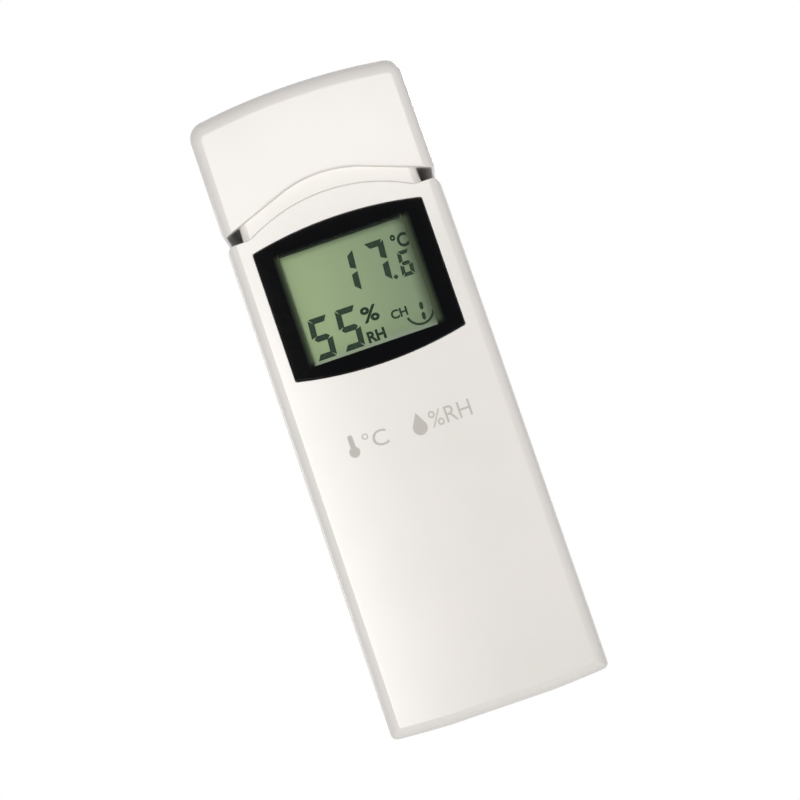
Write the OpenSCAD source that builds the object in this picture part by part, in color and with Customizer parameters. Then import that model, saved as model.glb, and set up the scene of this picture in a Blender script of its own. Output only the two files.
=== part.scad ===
// Wireless temperature and humidity sensor: a slim white two-shell case with a display window,
// a vented neck under its cap, two AA cells behind a sliding door and a small board inside.
// Front faces -Y, +Z is up, the origin is on the floor under the middle of the case.

/* [Case] */
// Thickness of the side, top and bottom walls
wall = 1.8; // [1.4:0.1:2.4]
// Thickness of the front wall
front_wall = 2; // [1.8:0.1:2.6]
// Thickness of the back wall and of the battery door
back_wall = 1.8; // [1.5:0.1:2.4]
// Depth of the front shell, from the front face to the parting line
front_depth = 11; // [9.5:0.1:11.4]
// Free width between the battery tray and each side wall
side_room = 1.9; // [1.2:0.1:4]
// Rounding of the long front and back edges
edge_r = 2.2; // [1:0.1:2.8]
// Rounding of the top front and back edges
top_edge_r = 3.2; // [1.5:0.1:4]
// Rounding of the bottom front and back edges
foot_edge_r = 2; // [1:0.1:2.8]
// Radius of the arched top
top_arch_r = 121; // [60:1:300]
// Radius of the two top corners
top_corner_r = 3.2; // [1:0.1:4]
// Radius of the bowed bottom
foot_bow_r = 250; // [120:5:500]
// Radius of the two bottom corners
foot_corner_r = 1.2; // [0.6:0.1:2]
// Half width of the flat land that the case stands on
foot_half = 9.5; // [6:0.5:13]

/* [Neck and cap] */
// Wall between the neck slots and the inside
neck_wall = 1.5; // [1:0.1:2]
// Width of the neck between the two side slots
neck_w = 34.4; // [30:0.1:36]
// Step from the front face back to the neck band
neck_step = 0.8; // [0.4:0.1:1.2]
// Rounding of the neck's front corners
neck_corner_r = 1.6; // [0.6:0.1:2.5]
// Rise of the body's hump above its shoulders
hump_h = 4.3; // [2:0.1:6]
// Radius of the hump
hump_r = 32; // [26:0.5:60]
// Height of the neck band at its middle
neck_band = 3.4; // [2.5:0.1:6]
// Height of the side slots at the outer faces
slot_h = 2; // [1.5:0.1:3]
// Radius of the cap's lower edge at its middle
cap_arc_r = 23; // [16:0.5:26]
// Height of the cap at its middle
cap_h = 17.8; // [15:0.1:24]
// Rounding of the cap's lower outer corners
cap_corner_r = 0.9; // [0.3:0.1:1.5]
// Rounding of the body's shoulders at the slots
shoulder_r = 1.4; // [0.5:0.1:2]
// How far the side slots stop short of the back face
slot_back = 4; // [2.5:0.1:6]
// Height of the vents in the neck's side walls
vent_h = 1.2; // [0.8:0.1:1.4]
// Length of one vent
vent_l = 2.4; // [1.5:0.1:3]

/* [Window and display] */
// Width of the display window
window_w = 32.5; // [31:0.1:34]
// Height of the window's straight sides
window_side_h = 24.7; // [24:0.1:26]
// Bow of the window's top and bottom edges
window_bow = 1.8; // [0.8:0.1:2]
// Corner radius of the window
window_r = 0.4; // [0.3:0.1:1.5]
// Thickness of the clear window
window_t = 1.2; // [0.8:0.1:1.3]
// Thickness of the black border print
border_t = 0.1; // [0.05:0.05:0.2]
// Width of the clear opening in the border
clear_w = 26; // [24:0.1:27]
// Height of the clear opening in the border
clear_h = 21.4; // [20:0.1:22.4]
// Width of the display glass
lcd_w = 24.4; // [22:0.1:25]
// Height of the display's front glass
lcd_h = 24.2; // [23.5:0.1:26]
// Thickness of each display glass
lcd_glass_t = 0.7; // [0.5:0.1:1]
// Thickness of the polarising film
film_t = 0.2; // [0.1:0.05:0.3]
// Thickness of the reflector behind the display
reflector_t = 0.3; // [0.2:0.1:0.5]
// Margin of bare glass at the display's sides
glass_margin = 0.6; // [0.3:0.1:1]
// Width of the contact ledges along the front glass
ledge_w = 1.6; // [1.4:0.1:1.9]
// Wall of the display holder
holder_wall = 0.8; // [0.6:0.1:1]

/* [Board] */
// Thickness of the board
board_t = 1.6; // [1:0.1:2]
// Distance from the front wall back to the board
board_depth = 5; // [4.4:0.1:5.6]
// Width of the board's sensor tongue
tongue_w = 14; // [10:0.5:16]
// Distance from the tongue's end to the inside of the cap
tongue_gap = 5; // [3:0.1:7]
// Radius of the board's standoffs
standoff_r = 1.6; // [1.4:0.1:2]
// Shank radius of the board screws
board_screw_r = 0.8; // [0.6:0.1:1]
// Length of the board screws under the head
board_screw_l = 5; // [4:0.1:5.5]
// Radius of the aerial coil
aerial_r = 2.4; // [1.8:0.1:3]
// Turns of the aerial coil
aerial_turns = 5; // [3:1:6]
// Wire diameter of the aerial
aerial_wire = 0.6; // [0.5:0.1:0.7]

/* [Selector switch] */
// Number of small sliders
slider_count = 4; // [4:1:4]
// Spacing of the sliders
slider_pitch = 2.54; // [2.4:0.01:2.54]
// Length of the switch body along the sliders' travel
switch_l = 6.2; // [5.6:0.1:6.4]
// Height of the switch body
switch_h = 3.5; // [3:0.1:4]
// Size of a slider's square tip
slider_tip = 1.4; // [1.2:0.1:1.6]
// How far a slider's tip stands out of the switch body
slider_proud = 0.6; // [0.4:0.1:0.9]
// Travel of a slider
slider_travel = 1.2; // [0.8:0.1:1.4]

/* [Batteries] */
// Diameter of an AA cell
cell_d = 14.2; // [13.8:0.1:14.5]
// Length of an AA cell with its nub
cell_l = 50; // [49.5:0.1:50.5]
// Diameter of the nub
nub_d = 5.3; // [4.5:0.1:5.5]
// Height of the nub
nub_h = 1.2; // [1:0.1:1.6]
// Gap between the two cells
cell_split = 1.2; // [1:0.1:2]
// Free room beside the cells
cell_side = 0.8; // [0.5:0.1:1.5]
// Wall of the battery tray
tray_wall = 1.2; // [1:0.1:1.6]
// Thickness of the tray's floor
tray_floor = 1; // [0.8:0.1:1.5]
// Thickness of the contact metal
contact_t = 0.4; // [0.3:0.1:0.5]
// Length of a compressed contact spring
spring_l = 4.2; // [4:0.1:6]
// Large radius of a contact spring
spring_r = 4.2; // [3.8:0.1:5]
// Wire diameter of a contact spring
spring_wire = 0.7; // [0.6:0.1:0.8]
// Turns of a contact spring
spring_turns = 2.5; // [2:0.5:2.5]

/* [Battery door] */
// Clearance between the door and its opening
door_gap = 0.2; // [0.1:0.05:0.3]
// Running clearance of the door's tongues
rail_gap = 0.1; // [0.05:0.05:0.2]
// Thickness of the door's tongues
tongue_t = 0.8; // [0.6:0.05:0.9]
// How far the tongues reach under the case
tongue_reach = 1.2; // [0.8:0.1:1.4]
// Number of grip grooves
grip_count = 6; // [4:1:8]
// Spacing of the grip grooves
grip_pitch = 1.7; // [1.4:0.1:2]
// Depth of the grip grooves
grip_depth = 0.5; // [0.3:0.1:0.8]
// Half width of the arrow that shows which way the door slides
arrow_half = 3; // [2:0.1:4]

/* [Fixings] */
// Shank radius of the case screws
screw_r = 1.1; // [0.9:0.05:1.3]
// Length of the case screws under the head
screw_l = 9; // [7:0.1:9.5]
// Head radius of the case screws
head_r = 2.1; // [1.8:0.1:2.3]
// Head height of the case screws
head_h = 1.6; // [1.2:0.1:1.8]
// Radius of the screw bosses
boss_r = 2.5; // [2.2:0.1:2.9]
// Radius of the round end of the hanging hole
hang_r = 3.5; // [3:0.1:4]
// Width of the hanging slot
hang_slot_w = 3.6; // [3:0.1:4]
// Length of the hanging slot above the round end
hang_rise = 5.5; // [4:0.1:6]

/* [Hidden] */
$fn = 48;

// Small clearances that many pieces share
fit = 0.1;
thread_fit = 0.03;
room = 0.4;
lap = 0.05;
beyond = 5;

// Depth stack, front to back
cell_under = 0.2;
cell_over = 0.4;
case_d = front_wall + room + tray_floor + cell_under + cell_d + cell_over + back_wall;
y_front = -case_d / 2;
y_back = case_d / 2;
y_part = y_front + front_depth;
y_inner = y_front + front_wall;
y_door = y_back - back_wall;
y_tray = y_inner + room;
y_cell = y_tray + tray_floor + cell_under + cell_d / 2;
y_board = y_inner + board_depth;
y_board_back = y_board + board_t;
switch_gap = 0.3;
y_shelf = y_board_back + switch_h + switch_gap;
y_seat = y_shelf + tray_wall;
y_slot = y_back - slot_back;

// Height stack, bottom to top
foot_room = 0.8;
z_bay = wall + foot_room + tray_wall;
dimple_h = 0.4;
bay_l = 2 * contact_t + dimple_h + cell_l + spring_l;
z_bay_top = z_bay + bay_l;
z_shelf = z_bay_top + tray_wall;
boss_room = 0.5;
z_boss = z_shelf + boss_r + boss_room;
shelf_h = 7.6;
z_shelf_top = z_shelf + shelf_h;
z_switch = z_shelf + shelf_h / 2;
holder_room = 0.6;
z_holder = z_boss + boss_r + holder_room;
holder_h = lcd_h + 2 * (fit + holder_wall);
z_lcd = z_holder + holder_h / 2;
z_holder_top = z_holder + holder_h;
board_over = 0.25;
z_shoulder = z_holder_top + 2 * board_over + neck_wall;
z_hump = z_shoulder + hump_h;
z_cap_mid = z_hump + neck_band;
z_cap_side = z_shoulder + slot_h;
case_h = z_cap_mid + cap_h;
z_door_top = z_shelf_top + tray_wall / 2;

// Widths, from the middle out
cell_x = (cell_d + cell_split) / 2;
bay_half = cell_x + cell_d / 2 + cell_side;
tray_half = bay_half + tray_wall;
holder_half = lcd_w / 2 + fit + holder_wall;
standoff_x = holder_half + 2 * fit + standoff_r;
board_edge = 2.1;
board_half = standoff_x + board_edge;
window_half = window_w / 2;
inner_half = max(tray_half + side_room, board_half + room, window_half + edge_r + room - wall);
half = inner_half + wall;
neck_half = neck_w / 2;
neck_inner = neck_half - neck_wall;
boss_x = bay_half - head_r - fit;
door_half = bay_half + tray_wall / 3;

// Fixing places
standoff_in = 2.5;
standoff_zs = [z_holder + standoff_in, z_holder_top - standoff_in];
top_screw_in = 8.5;
z_top_screw = case_h - top_screw_in;
top_screw_side = 3.7;
top_screw_x = inner_half - boss_r - top_screw_side;
hang_drop = 0.5;
hang_z = z_cap_mid + hang_r - hang_drop;
tongue_top = case_h - wall - tongue_gap;

// Display parts
window_pocket = window_t + border_t;
y_film = y_inner + fit;
y_front_glass = y_film + film_t;
y_rear_glass = y_front_glass + lcd_glass_t;
y_reflector = y_rear_glass + lcd_glass_t;
rear_glass_h = lcd_h - 2 * ledge_w - 2 * fit;

// Selector switch
switch_side = 2.04;
switch_half = (slider_count - 1) * slider_pitch / 2 + switch_side;
slider_fit = 0.06;
slider_sunk = 0.9;
slider_slot = slider_tip + slider_travel + 2 * slider_fit;

// Points on a circle from angle a to angle b
function arc(x, z, r, a, b, steps) =
    [for (i = [0:steps]) let (t = a + (b - a) * i / steps) [x + r * cos(t), z + r * sin(t)]];

// Barrel outline: straight sides, bowed top and bottom, round corners, an optional flat land below
function barrel(h, top, top_r, top_c, bottom, bottom_r, bottom_c, land) =
    let (
        tz = top - top_r,
        tx = h - top_c,
        tcz = tz + sqrt(pow(top_r - top_c, 2) - tx * tx),
        ta = atan2(tcz - tz, tx),
        bz = bottom + sqrt(bottom_r * bottom_r - land * land),
        bx = h - bottom_c,
        bcz = bz - sqrt(pow(bottom_r - bottom_c, 2) - bx * bx),
        ba = atan2(bcz - bz, bx),
        la = land > 0 ? -acos(land / bottom_r) : -90
    )
    concat(
        arc(tx, tcz, top_c, 0, ta, 6),
        [for (p = arc(0, tz, top_r, ta, 180 - ta, 16)) if (abs(p[0]) < tx * 0.97) p],
        arc(-tx, tcz, top_c, 180 - ta, 180, 6),
        arc(-bx, bcz, bottom_c, 180, 180 - ba, 5),
        [for (p = arc(0, bz, bottom_r, 180 - ba, 180 - la, 6)) if (abs(p[0]) < bx * 0.97) p],
        [for (p = arc(0, bz, bottom_r, la, ba, 6)) if (abs(p[0]) < bx * 0.97 && p[0] > lap) p],
        arc(bx, bcz, bottom_c, ba, 0, 5)
    );

// Outline of the case, drawn in by its own amount at the sides, top and bottom
least_r = 0.4;
function case_outline(side, top, foot) =
    barrel(half - side, case_h - top, top_arch_r - top, max(top_corner_r - side, least_r),
           foot, foot_bow_r - foot, max(foot_corner_r - foot, least_r), foot_half);

// How far an edge rounded by r is drawn in at a depth behind its face
function draw_in(r, depth) = depth >= r ? 0 : r - sqrt(r * r - pow(r - depth, 2));

// Depths of the rings that make the rounded edges
edge_steps = 9;
edge_most = max(edge_r, top_edge_r, foot_edge_r);
ring_depths = [for (i = [0:edge_steps]) edge_most * (1 - cos(90 * i / edge_steps))];

// Solid through a stack of rings with as many points each
module skin(rings) {
    n = len(rings[0]);
    last = len(rings) - 1;
    points = [for (ring = rings) each ring];
    sides = [for (k = [0:last - 1]) for (i = [0:n - 1])
             let (j = (i + 1) % n)
             each [[k * n + i, k * n + j, (k + 1) * n + j], [k * n + i, (k + 1) * n + j, (k + 1) * n + i]]];
    first_cap = [for (i = [n - 1:-1:0]) i];
    last_cap = [for (i = [0:n - 1]) last * n + i];
    polyhedron(points, concat(sides, [first_cap], [last_cap]));
}

// Rounded half of the case between the parting line and one outer face
module half_case(face, toward) {
    rings = [for (depth = ring_depths)
             [for (p = case_outline(draw_in(edge_r, depth), draw_in(top_edge_r, depth),
                                    draw_in(foot_edge_r, depth)))
              [p[0], face - toward * depth, p[1]]]];
    parting = [[for (p = case_outline(0, 0, 0)) [p[0], y_part, p[1]]]];
    ordered = concat(rings, parting);
    skin(toward < 0 ? ordered : [for (i = [len(ordered) - 1:-1:0]) ordered[i]]);
}

// Flat shape drawn in X and Z, made solid from y0 to y1
module along_y(y0, y1) {
    translate([0, y1, 0]) rotate([90, 0, 0]) linear_extrude(y1 - y0) children();
}

// Box between two corners
module box(a, b) {
    translate(a) cube(b - a);
}

// Round bar along Y
module bar(x, z, y0, y1, r) {
    translate([x, y0, z]) rotate([-90, 0, 0]) cylinder(h = y1 - y0, r = r);
}

// The same on the left and on the right
module both_sides() {
    children();
    mirror([1, 0, 0]) children();
}

// Right half of the body's top edge, from the hump to outside the case
function shoulder_line() =
    let (z0 = z_hump - hump_r, a = acos(1 - hump_h / hump_r), reach = half - shoulder_r)
    concat(
        [for (p = arc(0, z0, hump_r, 90, 90 - a, 12)) if (p[0] < reach) p],
        arc(reach, z_shoulder - shoulder_r, shoulder_r, 90, 0, 5),
        [[half + beyond, z_shoulder - shoulder_r]]
    );

// Right half of the cap's lower edge, from outside the case to the middle
function cap_line() =
    let (
        cz = z_cap_mid - cap_arc_r,
        corner_x = half - cap_corner_r,
        corner_z = z_cap_side + cap_corner_r,
        rise = z_cap_side - cz,
        reach = sqrt(corner_x * corner_x + rise * rise),
        turn = atan2(rise, corner_x) + acos(cap_arc_r / reach)
    )
    concat(
        [[half + beyond, corner_z]],
        arc(corner_x, corner_z, cap_corner_r, 0, -90, 4),
        arc(0, cz, cap_arc_r, turn, 90, 10)
    );

// Groove between body and cap: shallow in front of the neck, deep at the two side slots
module neck_groove() {
    right = concat(shoulder_line(), cap_line());
    difference() {
        along_y(y_front - beyond, y_slot) both_sides() polygon(right);
        neck_core();
    }
}

// Solid column of the neck inside the groove
module neck_core() {
    x = neck_half - neck_corner_r;
    y = y_front + neck_step + neck_corner_r;
    outline = concat(
        arc(-x, y, neck_corner_r, 180, 270, 6),
        arc(x, y, neck_corner_r, 270, 360, 6),
        [[neck_half, y_back + beyond], [-neck_half, y_back + beyond]]
    );
    translate([0, 0, z_shoulder - beyond])
        linear_extrude(z_cap_mid - z_shoulder + 2 * beyond)
            polygon(outline);
}

// Hollow of the two shells, seen from the front
module hollow_shape() {
    ceiling = z_cap_side + (half - neck_inner) * (z_cap_mid - z_cap_side) / half + neck_wall;
    difference() {
        polygon(case_outline(wall, wall, wall));
        both_sides() translate([neck_inner, z_shoulder - neck_wall])
            square([half, ceiling - z_shoulder + neck_wall]);
    }
}

// Vents through the neck's side walls between two depths
module neck_vents(y0, y1, count) {
    step = (y1 - y0) / count;
    z = z_shoulder + (slot_h - vent_h) / 2;
    both_sides() for (i = [0:count - 1])
        let (y = y0 + step * (i + 0.5))
            box([neck_inner - beyond, y - vent_l / 2, z], [neck_half + lap, y + vent_l / 2, z + vent_h]);
}

// Outline of the window, drawn in by a clearance
module window_shape(in) {
    w = window_half - in;
    r = (w * w + window_bow * window_bow) / (2 * window_bow);
    reach = window_side_h / 2 + window_bow - in;
    polygon(barrel(w, z_lcd + reach, r, window_r, z_lcd - reach, r, window_r, 0));
}

// Rectangle centred on the display, seen from the front
module display_rect(w, h) {
    translate([-w / 2, z_lcd - h / 2]) square([w, h]);
}

rib_in = 10;
rib_t = 1.2;
rib_drop = 1;
lip_in = 8;
lip_t = 0.8;
lip_h = 1;

// Alignment lip along each side of the parting line, grown by a clearance
module side_lip(grow) {
    both_sides() box([inner_half - grow, y_part - lap, z_bay + lip_in - grow],
                     [inner_half + lip_t + grow, y_part + lip_h + grow, z_shoulder - lip_in + grow]);
}

// White front shell with the window pocket, the neck band, screw bosses and standoffs
module front_case() {
    color("white") difference() {
        union() {
            difference() {
                half_case(y_front, -1);
                along_y(y_inner, y_part + beyond) hollow_shape();
            }
            both_sides() {
                bar(boss_x, z_boss, y_inner - lap, y_shelf, boss_r);
                bar(top_screw_x, z_top_screw, y_inner - lap, y_part, boss_r);
                for (z = standoff_zs) bar(standoff_x, z, y_inner - lap, y_board, standoff_r);
                for (z = [z_bay + rib_in, z_bay_top - rib_in])
                    box([tray_half + fit, y_inner - lap, z],
                        [inner_half + lap, y_part - rib_drop, z + rib_t]);
            }
            side_lip(0);
        }
        neck_groove();
        neck_vents(y_inner, y_part - lip_h, 2);
        along_y(y_front - beyond, y_front + window_pocket) window_shape(0);
        along_y(y_front, y_inner + lap) display_rect(clear_w + room, clear_h + room);
        both_sides() {
            bar(boss_x, z_boss, y_seat - screw_l - room, y_shelf + beyond, screw_r + thread_fit);
            bar(top_screw_x, z_top_screw, y_seat - screw_l - room, y_part + beyond, screw_r + thread_fit);
            for (z = standoff_zs)
                bar(standoff_x, z, y_board_back - board_screw_l - room, y_board + beyond,
                    board_screw_r + thread_fit);
        }
    }
}

flange_t = 1.2;
rib_half = 0.6;

// Battery tray and switch shelf, before they are hollowed
module tray_block() {
    box([-tray_half, y_tray, z_bay - tray_wall], [tray_half, y_door - rail_gap, z_shelf]);
    box([-tray_half, y_shelf, z_bay_top], [tray_half, y_door - rail_gap, z_shelf_top + tray_wall]);
    both_sides() {
        box([bay_half, y_door - rail_gap - flange_t, z_bay - tray_wall],
            [inner_half + lap, y_door - rail_gap, z_shelf_top + tray_wall]);
        box([cell_x - rib_half, y_part, wall / 2], [cell_x + rib_half, y_door - rail_gap, z_bay - lap]);
    }
}

tab_w = 2.5;
tab_fit = 0.05;

// Hollows of the tray: the bay, the shelf, the switch window and the slots for the contact tabs
module tray_hollows() {
    box([-bay_half, y_tray + tray_floor, z_bay], [bay_half, y_back, z_bay_top]);
    box([-bay_half, y_seat, z_shelf], [bay_half, y_back, z_shelf_top]);
    box([-switch_half - room, y_shelf - lap, z_switch - switch_l / 2 - room],
        [switch_half + room, y_seat + lap, z_switch + switch_l / 2 + room]);
    both_sides() {
        box([cell_x - tab_w / 2 - fit, y_board_back - tab_fit, z_bay_top - lap],
            [cell_x + tab_w / 2 + fit, y_board_back + contact_t + tab_fit, z_shelf + lap]);
        bar(boss_x, z_boss, y_shelf - lap, y_seat + lap, screw_r + 2 * fit);
    }
}

// Opening for the door with its rails, open at the foot
module door_opening() {
    top = z_door_top + door_gap;
    box([-door_half - door_gap, y_door - rail_gap, -beyond], [door_half + door_gap, y_back + beyond, top]);
    box([-door_half - tongue_reach - door_gap, y_door - rail_gap, -beyond],
        [door_half + tongue_reach + door_gap, y_door + tongue_t + rail_gap, top]);
    box([-bay_half, y_door - rail_gap, top - lap],
        [bay_half, y_door + tongue_t + rail_gap, top + tongue_reach + rail_gap]);
}

// Hanging hole: a round end for the screw head and a narrow slot above it
module hanging_hole() {
    bar(0, hang_z, y_door - lap, y_back + lap, hang_r);
    bar(0, hang_z + hang_rise, y_door - lap, y_back + lap, hang_slot_w / 2);
    box([-hang_slot_w / 2, y_door - lap, hang_z], [hang_slot_w / 2, y_back + lap, hang_z + hang_rise]);
}

pillar_wall = 0.8;

// White rear shell with the battery tray, the switch shelf, the door rails and the hanging hole
module rear_case() {
    color("white") difference() {
        union() {
            difference() {
                half_case(y_back, 1);
                along_y(y_part - beyond, y_door) hollow_shape();
                side_lip(fit);
            }
            tray_block();
            both_sides()
                bar(top_screw_x, z_top_screw, y_part, y_door + lap, head_r + 2 * fit + pillar_wall);
        }
        tray_hollows();
        door_opening();
        neck_groove();
        neck_vents(y_part + rib_drop, y_slot, 1);
        hanging_hole();
        both_sides() {
            bar(top_screw_x, z_top_screw, y_part - lap, y_seat + lap, screw_r + 2 * fit);
            bar(top_screw_x, z_top_screw, y_seat, y_back + lap, head_r + 2 * fit);
        }
    }
}

grip_half = 6;
grip_top = 4;
grip_width = 0.9;
tongue_in = 4;
arrow_gap = 2.4;
arrow_depth = 0.4;
arrow_z = z_door_top - grip_top - grip_count * grip_pitch - arrow_gap;

// Sliding battery door: a flush plate with tongues at its sides and top, a ribbed thumb grip
// and an arrow that points the way it slides
module battery_door() {
    color("white") difference() {
        union() {
            intersection() {
                half_case(y_back, 1);
                box([-door_half, y_door, -beyond], [door_half, y_back + beyond, z_door_top]);
            }
            both_sides() box([door_half - lap, y_door, z_bay + tongue_in],
                             [door_half + tongue_reach, y_door + tongue_t, z_door_top - tongue_in]);
            box([-bay_half + fit, y_door, z_door_top - lap],
                [bay_half - fit, y_door + tongue_t, z_door_top + tongue_reach]);
        }
        for (i = [0:grip_count - 1])
            let (z = z_door_top - grip_top - i * grip_pitch)
                box([-grip_half, y_back - grip_depth, z - grip_width],
                    [grip_half, y_back + lap, z]);
        along_y(y_back - arrow_depth, y_back + lap)
            polygon([[-arrow_half, arrow_z], [arrow_half, arrow_z], [0, arrow_z - arrow_half]]);
    }
}

// Clear window set flush into the front
module display_window() {
    color("gainsboro") along_y(y_front, y_front + window_t) window_shape(fit);
}

// Black print on the back of the window, open over the display
module window_border() {
    color("black") along_y(y_front + window_t, y_front + window_pocket) difference() {
        window_shape(fit);
        display_rect(clear_w, clear_h);
    }
}

// Grey-green polarising film on the front of the display
module lcd_film() {
    color("darkseagreen") along_y(y_film, y_front_glass)
        display_rect(lcd_w - 2 * glass_margin, rear_glass_h);
}

// Front glass of the display, with a contact ledge along its top and bottom
module lcd_front_glass() {
    color("lightcyan") along_y(y_front_glass, y_rear_glass) display_rect(lcd_w, lcd_h);
}

// Rear glass of the display
module lcd_rear_glass() {
    color("lightcyan") along_y(y_rear_glass, y_reflector) display_rect(lcd_w, rear_glass_h);
}

// Reflecting film behind the display
module lcd_reflector() {
    color("silver") along_y(y_reflector, y_reflector + reflector_t)
        display_rect(lcd_w - 2 * glass_margin, rear_glass_h);
}

// Dark frame that holds the display between the front wall and the board
module lcd_holder() {
    color("dimgray") along_y(y_inner, y_board) difference() {
        display_rect(2 * holder_half, holder_h);
        display_rect(lcd_w + 2 * fit, lcd_h + 2 * fit);
    }
}

// Two rubber contact strips between the display's ledges and the board
module contact_strips() {
    color("dimgray") for (z = [z_lcd - lcd_h / 2, z_lcd + lcd_h / 2 - ledge_w])
        box([-lcd_w / 2 + glass_margin, y_rear_glass, z], [lcd_w / 2 - glass_margin, y_board, z + ledge_w]);
}

hole_fit = 0.3;

// Green board: a lower tab for switch and battery, the display area and a sensor tongue in the cap
module main_board() {
    tab_half = boss_x - boss_r - room;
    color("seagreen") difference() {
        along_y(y_board, y_board_back) union() {
            translate([-board_half, z_holder - board_over])
                square([2 * board_half, holder_h + 2 * board_over]);
            translate([-tab_half, z_shelf + room])
                square([2 * tab_half, z_holder - z_shelf - room]);
            translate([-tongue_w / 2, z_holder_top])
                square([tongue_w, tongue_top - z_holder_top]);
        }
        both_sides() for (z = standoff_zs)
            bar(standoff_x, z, y_board - lap, y_board_back + lap, board_screw_r + hole_fit);
    }
}

// Screw along Y with a pan head, a cross recess and a pointed end
module screw(x, z, seat, r, l, head, thick) {
    point = 1.2 * r;
    tip = 0.25 * r;
    rim = 0.6 * thick;
    crown = 0.75 * head;
    recess = 0.55 * head;
    blade = 0.14 * head;
    difference() {
        union() {
            bar(x, z, seat - l + point, seat + lap, r);
            translate([x, seat - l + point + lap, z]) rotate([90, 0, 0])
                cylinder(h = point + lap, r1 = r, r2 = tip);
            bar(x, z, seat, seat + rim, head);
            translate([x, seat + rim, z]) rotate([-90, 0, 0])
                cylinder(h = thick - rim, r1 = head, r2 = crown);
        }
        for (half_size = [[recess, blade], [blade, recess]])
            box([x - half_size[0], seat + thick / 2, z - half_size[1]],
                [x + half_size[0], seat + thick + lap, z + half_size[1]]);
    }
}

// Four screws that hold the two shells together
module case_screws() {
    color("silver") both_sides() {
        screw(boss_x, z_boss, y_seat, screw_r, screw_l, head_r, head_h);
        screw(top_screw_x, z_top_screw, y_seat, screw_r, screw_l, head_r, head_h);
    }
}

board_head_r = 1.6;
board_head_h = 1.2;

// Four small screws that hold the board on its standoffs
module board_screws() {
    color("silver") both_sides() for (z = standoff_zs)
        screw(standoff_x, z, y_board_back, board_screw_r, board_screw_l, board_head_r, board_head_h);
}

// Box that stands on the back of the board, centred at x and z
module on_board(x, z, w, l, h) {
    box([x - w / 2, y_board_back, z - l / 2], [x + w / 2, y_board_back + h, z + l / 2]);
}

blob_r = 4.5;
blob_top_r = 2.7;
blob_h = 1.4;
blob_in = 11;
blob_drop = 5;

// Black potting drop over the controller chip
module controller_blob() {
    color("black") translate([blob_in - board_half, y_board_back, z_lcd - blob_drop]) rotate([-90, 0, 0])
        cylinder(h = blob_h, r1 = blob_r, r2 = blob_top_r);
}

radio_w = 13;
radio_l = 10;
radio_t = 0.8;
radio_in = 12;
radio_x = radio_in - board_half;
radio_rise = 5.5;
radio_z = z_lcd + radio_rise;
shield_w = 10;
shield_l = 7.5;
shield_h = 2;

// Small radio board soldered flat on the main board
module radio_board() {
    color("navy") on_board(radio_x, radio_z, radio_w, radio_l, radio_t);
}

// Metal shield over the radio chip
module radio_shield() {
    color("silver") translate([0, radio_t, 0]) on_board(radio_x, radio_z, shield_w, shield_l, shield_h);
}

capacitor_r = 2.5;
capacitor_h = 5.5;
capacitor_in = 8.5;
capacitor_x = board_half - capacitor_in;
capacitor_drop = 3.5;

// Standing electrolytic capacitor
module capacitor() {
    color("midnightblue") bar(capacitor_x, z_lcd - capacitor_drop,
                              y_board_back, y_board_back + capacitor_h, capacitor_r);
}

crystal_r = 1.5;
crystal_l = 6;
crystal_gap = 1.5;
crystal_x = capacitor_x - capacitor_r - crystal_gap - crystal_r;
crystal_drop = 8;

// Quartz timing crystal lying on the board
module crystal_can() {
    color("silver") translate([crystal_x, y_board_back + crystal_r, z_lcd - crystal_drop])
        cylinder(h = crystal_l, r = crystal_r);
}

chip_l = 2;
chip_w = 1.2;
chip_h = 0.6;
chip_pitch = 2.4;
tongue_chips = 4;
tongue_chips_up = 1.4;
side_chips = 5;
side_chips_gap = 0.9;
side_chips_x = radio_x + radio_w / 2 + side_chips_gap + chip_l / 2;
side_chips_up = 1;

// A row of small chip parts at the foot of the tongue and a column of them beside the radio board
module chip_parts() {
    color("darkkhaki") {
        for (i = [0:tongue_chips - 1])
            on_board((i - (tongue_chips - 1) / 2) * chip_pitch, z_holder_top + tongue_chips_up,
                     chip_w, chip_l, chip_h);
        for (i = [0:side_chips - 1])
            on_board(side_chips_x, z_lcd + side_chips_up + i * chip_pitch, chip_l, chip_w, chip_h);
    }
}

// Points of a coil that rises along Z: a straight start, the turns and a straight end
coil_rings = 8;
function coil_path(r0, r1, turns, rise, wire) =
    let (
        n = turns * coil_rings,
        climb = rise - 2 * wire
    )
    concat(
        [[r0, 0, 0]],
        [for (i = [0:n]) let (t = i / n, r = r0 + (r1 - r0) * t)
         [r * cos(360 * turns * t), r * sin(360 * turns * t), wire + climb * t]],
        [[r1 * cos(360 * turns), r1 * sin(360 * turns), rise]]
    );

// Least clear distance between one turn of a coil and another
function coil_gap(path, wire) =
    min([for (i = [0:len(path) - 1]) for (j = [i + coil_rings - 2:1:len(path) - 1])
         norm(path[j] - path[i]) - wire]);

// Round wire along a path, as one closed tube of six sides
module wire_tube(path, wire) {
    last = len(path) - 1;
    sides = 6;
    rings = [for (i = [0:last])
             let (
                 ends = i == 0 || i == last,
                 run = ends ? [0, 0, 1] : path[i + 1] - path[i - 1],
                 along = run / norm(run),
                 out = [path[i][0], path[i][1], 0] / norm([path[i][0], path[i][1]]),
                 square_out = out - along * (out * along),
                 u = square_out / norm(square_out),
                 v = cross(along, u)
             )
             [for (k = [0:sides - 1])
              path[i] + wire / 2 * (cos(360 * k / sides) * u + sin(360 * k / sides) * v)]];
    skin([for (i = [last:-1:0]) rings[i]]);
}

aerial_h = 7.4;
aerial_in = 5;
aerial_rise = 5;
aerial_path = coil_path(aerial_r, aerial_r, aerial_turns, aerial_h, aerial_wire);
spring_path = coil_path(spring_r, spring_r / 2, spring_turns, spring_l, spring_wire);
echo(aerial_least_gap = coil_gap(aerial_path, aerial_wire));
echo(spring_least_gap = coil_gap(spring_path, spring_wire));

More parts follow.
